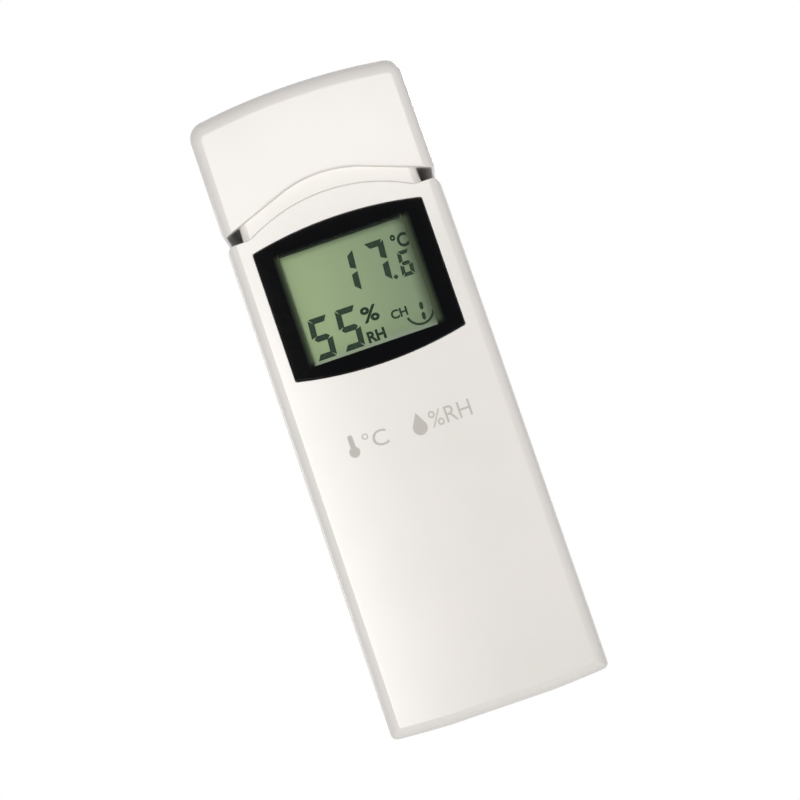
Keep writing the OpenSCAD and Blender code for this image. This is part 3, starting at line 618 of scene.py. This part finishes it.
def board_mask(name, node, face_colour, track_colour, edge_colour):
    """Solder mask over tracks, tinned vias, and bare laminate on the cut edges of a board."""
    material, place = start_finish(name)
    low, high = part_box(node)
    x, y, z = place.axes()
    flat = place.node("CombineXYZ", {"X": x, "Y": z})
    black, white_line = (0, 0, 0, 1), (1, 1, 1, 1)
    lanes = place.node("TexBrick", {"Vector": flat, "Scale": 1.0, "Brick Width": 6.1 * MM,
                                    "Row Height": 1.3 * MM, "Mortar Size": 0.13 * MM, "Mortar Smooth": 0.1,
                                    "Color1": black, "Color2": black, "Mortar": white_line}, out="Fac")
    track = lanes * flat.noise(5 * MM).ramp(0.46, 0.5)
    via = place.node("TexVoronoi", {"Vector": flat, "Scale": 1 / (2.6 * MM), "Randomness": 0.7},
                     out="Distance")
    ring = 1 - via.ramp(0.13, 0.15)
    edge = (y.ramp(low.y + 0.06 * MM, low.y + 0.09 * MM)
            * (1 - y.ramp(high.y - 0.09 * MM, high.y - 0.06 * MM)))
    cloud = place.noise(2.5 * MM)
    mask = track.mix(cloud.mix(face_colour, track_colour), track_colour)
    tinned = ring.mix(mask, rgb(196, 198, 196))
    place.finish({"Base Color": edge.mix(tinned, edge_colour), "Roughness": 0.32 + 0.3 * edge,
                  "Metallic": ring * (1 - edge), "Specular IOR Level": 0.4,
                  "Normal": track.bump(0.3, 0.03 * MM)})
    return material


green_mask = board_mask("green_mask", "main_board", rgb(26, 92, 52), rgb(46, 126, 74), rgb(168, 158, 104))
dress("main_board", "sensor_main_board", "board_green", green_mask, BOARD_EDGE)


# Controller drop: black epoxy poured over the bare controller chip, half glossy with faint flow marks. It
# spreads by itself, so it is a low round dome.
def poured_drop():
    """Half of a sphere pressed flat, closed where it meets the board."""
    low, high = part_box("controller_blob")
    bpy.ops.mesh.primitive_uv_sphere_add(segments=48, ring_count=24, radius=1,
                                         rotation=(math.radians(-90), 0, 0))
    drop = bpy.context.object
    drop.scale = ((high.x - low.x) / 2, (high.z - low.z) / 2, high.y - low.y)
    drop.location = ((low.x + high.x) / 2, low.y, (low.z + high.z) / 2)
    edit(settled())
    pick(drop, "verts", lambda corner: corner.co.y < low.y - SLIVER)
    bpy.ops.mesh.delete(type="VERT")
    pick(drop, "verts", lambda corner: corner.co.y < low.y + SLIVER)
    bpy.ops.mesh.edge_face_add()
    done(outward=True)
    drop.name = "controller_drop"
    return smooth(drop)


black_epoxy = speckled("black_epoxy", 1.2 * MM, (16, 16, 17), (30, 30, 32), 0.28, 0.2, 0.4,
                       relief=(0.25, 0.05 * MM))
fit(poured_drop(), "black_potting", black_epoxy, "controller_blob")


# Radio module: a small blue board soldered flat on the main board by the plated half holes along its
# sides, with a pressed tin lid over its chip.
PANEL_SUNK = 0.12 * MM
PAD = 0.7 * MM


def half_hole_pads(node, count):
    """Solder fillets at the half holes along the two long sides: one modelled, the others copied."""
    low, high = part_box(node)
    bpy.ops.mesh.primitive_cube_add(size=PAD, location=(0, low.y + PAD / 2, 0))
    pad = settled()
    edit(pad)
    pick(pad, "faces", lambda face: face.normal.y > 0.9)
    bpy.ops.transform.resize(value=(0.45, 1, 0.45))
    everything()
    bpy.ops.mesh.bevel(offset=0.1 * MM, segments=2)
    done()
    pads = []
    for i in range(count):
        x = low.x + (high.x - low.x) * (i + 0.5) / count
        for z in (low.z - 0.1 * MM, high.z + 0.1 * MM):
            pads.append(add("pad", pad.data.copy()))
            pads[-1].data.transform(Matrix.Translation((x, 0, z)))
    bpy.data.objects.remove(pad)
    return smooth(join(pads, "radio_solder_pads"))


def bright_tin(name, dark, light):
    """Tinned or nickelled sheet with fine drawing lines and finger dullness."""
    material, place = start_finish(name)
    drawn = place.node("Mapping", {"Vector": place, "Scale": (1, 1, 0.06)})
    lines = drawn.noise(0.12 * MM, 3)
    haze = place.noise(2.2 * MM)
    place.finish({"Base Color": haze.mix(dark, light), "Metallic": 1.0,
                  "Roughness": 0.2 + 0.14 * lines + 0.1 * haze, "Normal": lines.bump(0.15, 0.01 * MM)})
    return material


def press_panel(piece, top, margin, slope):
    """Sinks a panel in a piece's top face, inside a margin and a slope."""
    edit(piece)
    pick(piece, "faces", lambda face: face.normal.y > 0.9 and face.calc_center_median().y > top - SLIVER)
    bpy.ops.mesh.inset(thickness=margin)
    bpy.ops.mesh.inset(thickness=slope)
    bpy.ops.transform.translate(value=(0, -PANEL_SUNK, 0))
    done()


def shield_lid():
    """The pressed lid: rounded corners, and a shallow panel pressed in its top."""
    lid = cad_copy("radio_shield", "radio_shield_lid")
    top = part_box("radio_shield")[1].y
    break_edges(lid, 0.35 * MM, lambda edge: middle(edge).y > top - 1.9 * MM, segments=3)
    press_panel(lid, top, 0.7 * MM, 0.15 * MM)
    return smooth(lid)


tin = bright_tin("bright_tin", rgb(176, 178, 180), rgb(206, 208, 208))
blue_mask = board_mask("blue_mask", "radio_board", rgb(22, 40, 96), rgb(44, 72, 140), rgb(176, 166, 120))
dress("radio_board", "radio_module_board", "board_blue", blue_mask, BOARD_EDGE)
fit(half_hole_pads("radio_board", 8), "tinned_metal", tin)
fit(shield_lid(), "tinned_metal", tin, "radio_shield")


# Timing crystal: a drawn nickel-silver can that lies on the board, with a rolled flange at the end where
# its two leads leave.
def crystal_with_flange():
    """A can with rounded ends, and a flange pushed out near its foot."""
    low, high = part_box("crystal_can")
    radius = (high.x - low.x) / 2
    flange = 0.5 * MM
    bpy.ops.mesh.primitive_cylinder_add(vertices=40, radius=0.88 * radius, depth=high.z - low.z,
                                        location=(low + high) / 2)
    can = settled()
    edit(can, "SELECT")
    bpy.ops.mesh.bisect(plane_co=(0, 0, low.z + flange), plane_no=(0, 0, 1))
    pick(can, "faces", lambda face: abs(face.normal.z) < 0.5
         and face.calc_center_median().z < low.z + flange)
    bpy.ops.mesh.extrude_region_shrink_fatten(TRANSFORM_OT_shrink_fatten={"value": 0.12 * radius})
    done()
    break_edges(can, 0.16 * MM)
    can.name = "timing_crystal"
    return smooth(can)


fit(crystal_with_flange(), "tinned_metal", tin, "crystal_can")


# Capacitor: an aluminium can in a dark plastic sleeve, crimped in over its rubber plug, with a cross
# scored in the bare top so that it can vent.
def sleeved_can():
    """A cylinder with a rounded top, a crimp near its foot and a scored, slightly sunk top."""
    low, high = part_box("capacitor")
    radius = (high.x - low.x) / 2
    crimp_low, crimp_high = low.y + 0.9 * MM, low.y + 1.3 * MM
    bpy.ops.mesh.primitive_cylinder_add(vertices=48, radius=radius, depth=high.y - low.y,
                                        location=(low + high) / 2, rotation=(math.radians(-90), 0, 0))
    can = settled()
    edit(can)
    for y in (crimp_low, crimp_high):
        everything()
        bpy.ops.mesh.bisect(plane_co=(0, y, 0), plane_no=(0, 1, 0))
    pick(can, "faces", lambda face: abs(face.normal.y) < 0.5
         and crimp_low < face.calc_center_median().y < crimp_high)
    bpy.ops.mesh.inset(thickness=0.1 * MM, depth=-0.3 * MM)
    done()
    press_panel(can, high.y, 0.4 * MM, 0.08 * MM)
    break_edges(can, 0.2 * MM, lambda edge: middle(edge).y > high.y - SLIVER, segments=3)
    can.name = "sleeved_capacitor"
    return smooth(can)


def capacitor_sleeve():
    """Shrunk sleeve with a pale stripe for the minus lead, and bare aluminium on top with its cross."""
    material, place = start_finish("capacitor_sleeve")
    low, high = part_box("capacitor")
    centre = (low + high) / 2
    x, y, z = place.axes()
    across, along = x - centre.x, z - centre.z
    bare = y.ramp(high.y - 0.3 * MM, high.y - 0.22 * MM)
    score = 1 - abs(across).least(abs(along)).ramp(0.06 * MM, 0.12 * MM)
    stripe = across.ramp(1.7 * MM, 1.75 * MM)
    metal = score.mix(rgb(198, 200, 202), rgb(104, 106, 108))
    haze = place.noise(0.6 * MM)
    sleeve = stripe.mix(haze.mix(rgb(26, 30, 46), rgb(36, 40, 58)), rgb(168, 172, 180))
    place.finish({"Base Color": bare.mix(sleeve, metal), "Metallic": bare,
                  "Roughness": 0.3 + 0.15 * haze, "Specular IOR Level": 0.4})
    return material


fit(sleeved_can(), "capacitor_sleeve", capacitor_sleeve(), "capacitor")


# Chip parts: ceramic resistors and capacitors with tinned ends, soldered in a row at the foot of the
# tongue and in a column beside the radio.
def chip_ceramic():
    """Fired ceramic, tan and grey-black from part to part."""
    material, place = start_finish("chip_ceramic")
    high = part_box("chip_parts")[1]
    x, _, z = place.axes()
    half = 1 * MM
    in_row = z.ramp(high.z - 2.5 * half, high.z - 2.4 * half)
    along_row, along_column = abs(z - (high.z - half)), abs(x - (high.x - half))
    tinned = (along_column + in_row * (along_row - along_column)).ramp(0.6 * half, 0.66 * half)
    kind = place.noise(2.4 * MM).ramp(0.48, 0.52)
    speck = place.noise(0.15 * MM)
    fired = kind.mix(rgb(150, 122, 88), rgb(44, 44, 48))
    place.finish({"Base Color": tinned.mix(fired, rgb(200, 202, 202)), "Metallic": tinned,
                  "Roughness": 0.4 + 0.2 * speck, "Specular IOR Level": 0.35})
    return material


dress("chip_parts", "chip_row", "chip_ceramic", chip_ceramic(), 0.07 * MM)


# Aerial: copper wire under clear enamel, wound in a coil that stands on the board and tunes the radio. It
# is soldered at its foot, and its free end stands up.
def bent_wire(name, points, diameter):
    """Round wire along a row of points, as a closed mesh."""
    route = bpy.data.curves.new(name, "CURVE")
    route.dimensions = "3D"
    spline = route.splines.new("POLY")
    spline.points.add(len(points) - 1)
    for point, place in zip(spline.points, points):
        point.co = (*place, 1)
    route.bevel_depth = diameter / 2
    route.bevel_resolution = 3
    route.use_fill_caps = True
    choose(add(name, route))
    bpy.ops.object.convert(target="MESH")
    piece = bpy.context.object
    edit(piece, "SELECT")
    bpy.ops.mesh.remove_doubles(threshold=SLIVER / 10)
    done(outward=True)
    return smooth(piece)


def aerial_route():
    """From the solder joint up through the turns to the free end."""
    low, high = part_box("aerial_coil")
    wire = 0.6 * MM
    turns, steps = 5, 28
    radius = (high.x - low.x - wire) / 2
    axis = Vector(((low.x + high.x) / 2, low.y, (low.z + high.z) / 2))
    climb = high.y - low.y - 2 * wire
    points = [axis + Vector((radius, 0, 0))]
    for i in range(turns * steps + 1):
        angle = math.tau * i / steps
        points.append(axis + Vector((radius * math.cos(angle), wire + climb * i / (turns * steps),
                                     -radius * math.sin(angle))))
    points.append(axis + Vector((radius, high.y - low.y, 0)))
    return points, wire


copper = speckled("enamelled_copper", 1.5 * MM, (176, 96, 52), (206, 124, 74), 0.22, 0.15, 0.5,
                  Metallic=1.0)
fit(bent_wire("aerial_winding", *aerial_route()), "copper_wire", copper, "aerial_coil")


# Sensors: the humidity element in its white housing with a round port, and the thermistor bead on its two
# leads. Both stand on the tongue, in the air that passes through the cap.
def sensor_housing():
    """White liquid-crystal polymer, matt, with a dark membrane in the port."""
    material, place = start_finish("sensor_housing")
    low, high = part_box("humidity_sensor")
    x, y, z = place.axes()
    grain = place.noise(0.2 * MM, 3)
    deep = 1 - y.ramp(high.y - 0.78 * MM, high.y - 0.7 * MM)
    beside = abs(x - (low.x + high.x) / 2)
    above = abs(z - (low.z + high.z) / 2)
    port = deep * (1 - beside.most(above).ramp(1.25 * MM, 1.3 * MM))
    moulded = grain.mix(rgb(226, 224, 214), rgb(238, 236, 228))
    place.finish({"Base Color": port.mix(moulded, rgb(70, 72, 74)),
                  "Roughness": 0.5 + 0.2 * grain, "Specular IOR Level": 0.3})
    return material


def lacquered_bead():
    """Dipped amber lacquer over the bead, bare tinned wire below it."""
    material, place = start_finish("lacquered_bead")
    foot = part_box("thermistor")[0].y
    dipped = place.axes()[1].ramp(foot + 1.7 * MM, foot + 1.8 * MM)
    cloud = place.noise(0.5 * MM)
    lacquer = cloud.mix(rgb(172, 84, 24), rgb(206, 118, 44))
    place.finish({"Base Color": dipped.mix(rgb(196, 198, 198), lacquer), "Metallic": 1 - dipped,
                  "Roughness": 0.22 + 0.12 * cloud, "Coat Weight": 0.5 * dipped})
    return material


def dipped_bead():
    """A drop-shaped bead with two leads that run down to the board."""
    low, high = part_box("thermistor")
    radius = (high.x - low.x) / 2
    centre = (low + high) / 2
    lead_end = low.y + 2.2 * MM
    bpy.ops.mesh.primitive_uv_sphere_add(segments=32, ring_count=16, radius=1)
    bead = bpy.context.object
    half = (high.y - low.y - 1.8 * MM) / 2
    bead.scale = (radius, half, radius)
    bead.location = (centre.x, high.y - half, centre.z)
    settled()
    leads = [bent_wire("lead", [Vector((centre.x + side * radius / 2, low.y, centre.z)),
                                Vector((centre.x + side * radius / 2, lead_end, centre.z))], 0.4 * MM)
             for side in (-1, 1)]
    return smooth(join([bead] + leads, "thermistor_bead"))


dress("humidity_sensor", "humidity_element", "sensor_white", sensor_housing(), 0.15 * MM)
fit(dipped_bead(), "thermistor_lacquer", lacquered_bead(), "thermistor")


# Board screws: four small self-tapping screws that hold the board on its standoffs. They are zinc-plated
# steel, slightly blue with dull patches, and their pan heads have a cross recess.
zinc = speckled("plated_steel", 0.1 * MM, (150, 154, 160), (190, 193, 198), 0.25, 0.15, 0.5, detail=3,
                cloud=(0.8 * MM, 0.1), Metallic=1.0)
dress("board_screws", "board_screw_set", "screw_steel", zinc, 0.06 * MM)


# Selector switch: a blue moulded body with four slots, numbered, in which small white sliders set the
# channel and the unit. It is soldered on the board's tab and shows in the shelf above the cells.
INK_T = 0.02 * MM


def switch_plastic(name, dark, light):
    """Glass-filled switch moulding, matt, with a fine speckle."""
    return speckled(name, 0.12 * MM, dark, light, 0.42, 0.15, 0.3, detail=3, relief=(0.15, 0.01 * MM),
                    cloud=(1.5 * MM, 0))


switch_low, switch_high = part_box("switch_body")
switch_blue = switch_plastic("switch_blue", (28, 78, 140), (38, 92, 158))
dress("switch_body", "selector_body", "switch_blue", switch_blue, 0.12 * MM)


def switch_mark(text, x, z, size):
    """White characters printed on the face of the switch."""
    return lettering(text, (x, z), size, switch_high.y, BACK, INK_T, weight=0.02)


slider_boxes = [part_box(f"switch_slider_{i}") for i in range(1, 5)]
marks = [switch_mark(figure, (low.x + high.x) / 2, switch_low.z + 0.85 * MM, (wide, 0.8))
         for figure, wide, (low, high) in zip("1234", (0.24, 0.5, 0.5, 0.5), slider_boxes)]
marks.append(switch_mark("ON", -3.8 * MM, switch_high.z - 0.75 * MM, (1.3, 0.75)))
slider_white = switch_plastic("slider_white", (230, 230, 226), (242, 242, 239))
fit(join(marks, "selector_marks"), "slider_white", slider_white)


def slider_tip():
    """The first slider: a small block with a groove across its top for a pen point."""
    low, high = slider_boxes[0]
    bpy.ops.mesh.primitive_cube_add(size=1, location=(low + high) / 2, scale=high - low)
    tip = settled()
    edit(tip, "SELECT")
    for z in ((2 * low.z + high.z) / 3, (low.z + 2 * high.z) / 3):
        bpy.ops.mesh.bisect(plane_co=(0, 0, z), plane_no=(0, 0, 1))
        everything()
    pick(tip, "faces", lambda face: face.normal.y > 0.9
         and abs(face.calc_center_median().z - (low.z + high.z) / 2) < SLIVER)
    pull(0, -0.25 * MM, 0)
    done()
    break_edges(tip, 0.07 * MM, lambda edge: middle(edge).y > high.y - 0.3 * MM)
    return smooth(tip)


first_tip = slider_tip()
for i, (low, high) in enumerate(slider_boxes, 1):
    tip = add(f"selector_slider_{i}", first_tip.data.copy())
    tip.data.transform(Matrix.Translation(low - slider_boxes[0][0]))
    fit(tip, "slider_white", slider_white, f"switch_slider_{i}", body=f"slider_{i}")
bpy.data.objects.remove(first_tip)


# Rear shell: the white moulding that closes the back, with the battery tray, the switch shelf, the rails
# of the door and the hanging hole. Its lip fits inside the front shell along the joint.
dress("rear_case", "rear_shell", "white_case", white, EDGE_BREAK,
      lambda edge: middle(edge).y > back_face - SLIVER or parting_rim(edge) or slot_rim(edge))


# Battery contacts: plates of nickel-plated spring steel at both ends of the bay, pushed into slots in the
# tray, two of them with a tab up to the board.
nickel = bright_tin("plated_nickel", rgb(168, 166, 160), rgb(204, 201, 194))
for node, name in (("link_contact", "cell_link_plate"), ("positive_contact", "positive_plate"),
                   ("negative_contact", "negative_plate")):
    dress(node, name, "contact_metal", nickel, 0.09 * MM)


# Springs: conical springs of nickel-plated wire that press each cell against the opposite plate. The wide
# end lies flat on its plate and the narrow end flat on the cell.
def cell_spring(node, name, up):
    """A flat half turn on the plate, rising turns that narrow, and a flat end against the cell."""
    low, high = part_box(node)
    wire = 0.7 * MM
    wide = 4.2 * MM
    narrow = wide / 2
    flat_turns, rising_turns, end_turns, steps = 0.5, 2.5, 0.4, 32
    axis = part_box("aa_cell_left" if up > 0 else "aa_cell_right")
    centre = (axis[0] + axis[1]) / 2
    length = high.z - low.z - wire
    foot = low.z + wire / 2 if up > 0 else high.z - wire / 2
    points = []
    for i in range(int((flat_turns + rising_turns + end_turns) * steps) + 1):
        turn = i / steps
        rise = min(max((turn - flat_turns) / rising_turns, 0), 1)
        radius = wide + (narrow - wide) * rise
        points.append(Vector((centre.x + radius * math.cos(math.tau * turn),
                              centre.y + radius * math.sin(math.tau * turn), foot + up * length * rise)))
    fit(bent_wire(name, points, wire), "contact_metal", nickel, node)


cell_spring("lower_spring", "lower_cell_spring", 1)
cell_spring("upper_spring", "upper_cell_spring", -1)


# Cells: two AA cells side by side, one each way up. A shrunk printed sleeve is turned in over the rim of
# a steel can, with the nub standing in an insulating washer at the plus end.
NUB_R = 2.65 * MM
NUB_H = 1.2 * MM
SLEEVE_RIM = 0.9 * MM
DISC_SUNK = 0.3 * MM


def steel_cell():
    """The left cell, nub up: a cylinder whose ends are inset and pushed in and out."""
    low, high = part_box("aa_cell_left")
    radius = (high.x - low.x) / 2
    foot, head = low.z + DISC_SUNK, high.z - NUB_H
    axis = Vector(((low.x + high.x) / 2, (low.y + high.y) / 2, (foot + head) / 2))
    bpy.ops.mesh.primitive_cylinder_add(vertices=72, radius=radius, depth=head - foot, location=axis)
    cell = settled()
    edit(cell)
    pick(cell, "faces", lambda face: face.normal.z > 0.9)
    bpy.ops.mesh.inset(thickness=SLEEVE_RIM)
    pull(0, 0, -DISC_SUNK)
    bpy.ops.mesh.inset(thickness=radius - SLEEVE_RIM - NUB_R)
    pull(0, 0, DISC_SUNK + NUB_H)
    pick(cell, "faces", lambda face: face.normal.z < -0.9)
    bpy.ops.mesh.inset(thickness=SLEEVE_RIM)
    pull(0, 0, DISC_SUNK)
    bpy.ops.mesh.inset(thickness=0.3 * MM)
    pull(0, 0, -2 * DISC_SUNK)
    done()
    break_edges(cell, 0.3 * MM, lambda edge: (middle(edge) - axis).xy.length > radius - 0.1 * MM,
                segments=4)
    break_edges(cell, 0.25 * MM, lambda edge: middle(edge).z > high.z - SLIVER
                or middle(edge).z < low.z + SLIVER, segments=3)
    return smooth(cell)


def cell_sleeve(name, node, up):
    """Printed sleeve in plain bands with the two signs, bare steel at the ends and a dark washer."""
    material, place = start_finish(name)
    low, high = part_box(node)
    x, y, z = place.axes()
    across = x - (low.x + high.x) / 2
    depth = y - (low.y + high.y) / 2
    height = up * (z - (low.z + high.z) / 2) + (high.z - low.z) / 2
    length, radius = high.z - low.z, (high.x - low.x) / 2
    out = across.hypot(depth)
    scuff = place.noise(0.7 * MM, 4)
    cloud = place.noise(6 * MM)
    body = cloud.mix(rgb(24, 62, 50), rgb(30, 72, 58))
    band = height.ramp(36.4 * MM, 36.5 * MM)
    line = height.ramp(35.3 * MM, 35.4 * MM) * (1 - height.ramp(35.7 * MM, 35.8 * MM))
    pale = band.most(line)
    sleeve = pale.mix(body, cloud.mix(rgb(186, 190, 188), rgb(204, 208, 205)))
    facing = depth.ramp(0, 1 * MM)

    def box_mark(centre, half_wide, half_high):
        return ((1 - abs(across).ramp(half_wide, half_wide + 0.05 * MM))
                * (1 - abs(height - centre).ramp(half_high, half_high + 0.05 * MM)))
    long_half, thin_half = 1.5 * MM, 0.32 * MM
    plus = box_mark(43 * MM, long_half, thin_half).most(box_mark(43 * MM, thin_half, long_half))
    minus = box_mark(5 * MM, long_half, thin_half)
    marked = (facing * plus).mix((facing * minus).mix(sleeve, rgb(214, 218, 214)), rgb(24, 62, 50))
    inner = 1 - out.ramp(radius - SLEEVE_RIM - 0.02 * MM, radius - SLEEVE_RIM + 0.02 * MM)
    washer = inner * out.ramp(NUB_R + 0.1 * MM, NUB_R + 0.15 * MM) * height.ramp(length / 2, 0.6 * length)
    steel = inner * (1 - washer)
    bare = cloud.mix(rgb(172, 172, 170), rgb(206, 206, 204))
    ends = washer.mix(inner.mix(marked, bare), rgb(46, 46, 48))
    place.finish({"Base Color": ends, "Metallic": steel, "Roughness": 0.26 + 0.16 * scuff,
                  "Specular IOR Level": 0.4})
    return material


left_cell = steel_cell()
left_cell.name = "cell_left"
left_box, right_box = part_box("aa_cell_left"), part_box("aa_cell_right")
right_cell = add("cell_right", left_cell.data.copy())
right_cell.data.transform(Matrix.Translation((right_box[0] + right_box[1]) / 2)
                          @ Matrix.Rotation(math.pi, 4, "Y")
                          @ Matrix.Translation(-(left_box[0] + left_box[1]) / 2))
fit(left_cell, "cell_sleeve", cell_sleeve("left_sleeve", "aa_cell_left", 1), "aa_cell_left")
fit(right_cell, "cell_sleeve", cell_sleeve("right_sleeve", "aa_cell_right", -1), "aa_cell_right")


# Case screws: four longer screws of the same plated steel that draw the shells together, two in the cap
# and two in the switch shelf.
dress("case_screws", "case_screw_set", "screw_steel", zinc, 0.08 * MM)


# Battery door: a white plate flush with the back, with a ribbed grip and an arrow. Tongues on its sides
# run in the rails of the rear shell, so it slides down and off.
dress("battery_door", "battery_door_plate", "white_case", white, EDGE_BREAK,
      lambda edge: middle(edge).y > back_face - 0.6 * MM, body="door")


# Front marks: a small legend pad-printed in pale grey below the window, a thermometer and a drop with
# their units. They are flat shapes with the thickness of a coat of ink.
MARK_Z = 52.8


def printed_outline(points):
    """A flat printed shape on the front, from its outline in millimetres."""
    mesh = bpy.data.meshes.new("mark")
    mesh.from_pydata([(x * MM, front_face, z * MM) for x, z in points], [], [range(len(points))])
    piece = add("mark", mesh)
    thicken(piece, -INK_T)
    return piece


def arc(x, z, radius, first, last, steps=24):
    """Points on part of a circle, from its first to its last angle in degrees."""
    angles = [math.radians(first + (last - first) * i / steps) for i in range(steps + 1)]
    return [(x + radius * math.cos(angle), z + radius * math.sin(angle)) for angle in angles]


def thermometer(x, z):
    """A bulb that runs up into a round-ended stem."""
    bulb, stem, reach = 1.0, 0.48, 2.1
    meet = math.degrees(math.asin(stem / bulb))
    return arc(x, z - reach + bulb, bulb, 90 + meet, 450 - meet) + arc(x, z + reach - stem, stem, 0, 180)


def water_drop(x, z):
    """A round belly that draws in to a point."""
    belly, reach = 1.35, 2.1
    tip = 2 * reach - belly
    tangent = math.degrees(math.asin(belly / tip))
    return arc(x, z - reach + belly, belly, 180 - tangent, 360 + tangent) + [(x, z + reach)]


legend = [printed_outline(thermometer(-10.2, MARK_Z)), printed_outline(water_drop(2.4, MARK_Z))]
for text, x, size in (("°C", -5.9, (4.6, 3.1)), ("%RH", 8.3, (7.8, 3.1))):
    legend.append(lettering(text, (x * MM, MARK_Z * MM), size, front_face, FRONT, INK_T))
grey_ink = speckled("grey_ink", 0.25 * MM, (203, 199, 192), (216, 212, 205), 0.5, 0.2, 0.15, detail=3)
fit(join(legend, "front_marks"), "black_print", grey_ink)


# Camera and studio: the front seen from slightly below, with the case leaning to the left. The gloss
# mirrors a tall narrow light at the left and a thin one at the right, a small light stands high near the
# cap, and two stand behind, in a dim bluish room. The white ground lies below the travel of the door.
view_point = Vector((0.55 * MM, front_face, 58.0 * MM))
view_distance = 430 * MM
view_elevation = math.radians(-5.5)
view_roll = math.radians(-18.95)
view_lens = 107.3
away = Vector((0, -math.cos(view_elevation), math.sin(view_elevation)))
bpy.ops.object.camera_add(location=view_point + view_distance * away)
camera = bpy.context.object
camera.name = "photo_camera"
camera.rotation_mode = "QUATERNION"
level_view = (-away).to_track_quat("-Z", "Y")
camera.rotation_quaternion = Matrix.Rotation(view_roll, 3, away).to_quaternion() @ level_view
camera.data.lens = view_lens
camera.data.sensor_width = 36
camera.data.clip_start = 10 * MM
bpy.context.scene.camera = camera

for name, place, aim, wide, high, power, blue in (
        ("left_light", (-0.059, -0.4, 0.062), 0.06, 0.045, 0.19, 0.465, 0.96),
        ("high_light", (0.0, -0.25, 0.16), 0.1, 0.1, 0.04, 0.085, 0.96),
        ("right_light", (0.041, -0.38, 0.085), 0.06, 0.012, 0.19, 0.045, 0.955),
        ("side_light", (-0.4, 0.3, 0.1), 0.06, 0.2, 0.2, 0.3, 0.96),
        ("back_light", (0.35, 0.5, 0.35), 0.06, 0.25, 0.25, 3.4, 0.965)):
    bpy.ops.object.light_add(type="AREA", location=place)
    lamp = bpy.context.object
    lamp.name = name
    lamp.rotation_mode = "QUATERNION"
    lamp.rotation_quaternion = (Vector((0, 0, aim)) - Vector(place)).to_track_quat("-Z", "Y")
    lamp.visible_camera = False
    lamp.data.shape = "RECTANGLE"
    lamp.data.size, lamp.data.size_y = wide, high
    lamp.data.energy = power
    lamp.data.color = (1.0, 0.985, blue)


def seen_plainly(place):
    """1 for rays from the camera, gloss and glass, which see plain white, and 0 for all other light."""
    rays = ("Is Camera Ray", "Is Glossy Ray", "Is Transmission Ray")
    return sum(place.node("LightPath", {}, out=ray) for ray in rays).least(1)


room = bpy.data.worlds.new("studio_room")
bpy.context.scene.world = room
room.use_nodes = True
room.node_tree.nodes.clear()
air = Socket(room.node_tree)
room_colour = seen_plainly(air).mix((0.265, 0.261, 0.275, 1), (1, 1, 1, 1))
air.node("OutputWorld", {"Surface": air.node("Background", {"Color": room_colour})})


def pale_ground():
    """A matt white ground, nearly plain white to the camera with its shadow left in, open from below."""
    material, place = start_finish("pale_ground")
    matt = place.node("BsdfDiffuse", {"Color": (0.85, 0.85, 0.85, 1)})
    plain = place.node("Emission", {"Color": (1, 1, 1, 1), "Strength": 1})
    x, y, _ = place.axes()
    share = (0.965 + 0.035 * x.hypot(y).ramp(0.06, 0.3)) * seen_plainly(place)
    upper = place.node("MixShader", {0: share, 1: matt, 2: plain})
    from_below = place.node("NewGeometry", {}, out="Backfacing")
    surface = place.node("MixShader", {0: from_below, 1: upper, 2: place.node("BsdfTransparent", {})})
    place.node("OutputMaterial", {"Surface": surface})
    return material


door_travel = 72 * MM
ground_gap = 5 * MM
bpy.ops.mesh.primitive_plane_add(size=6, location=(0, 0, -door_travel - ground_gap))
ground = bpy.context.object
ground.name = "ground"
ground.data.materials.append(pale_ground())

scene = bpy.context.scene
scene.view_settings.view_transform = "Standard"
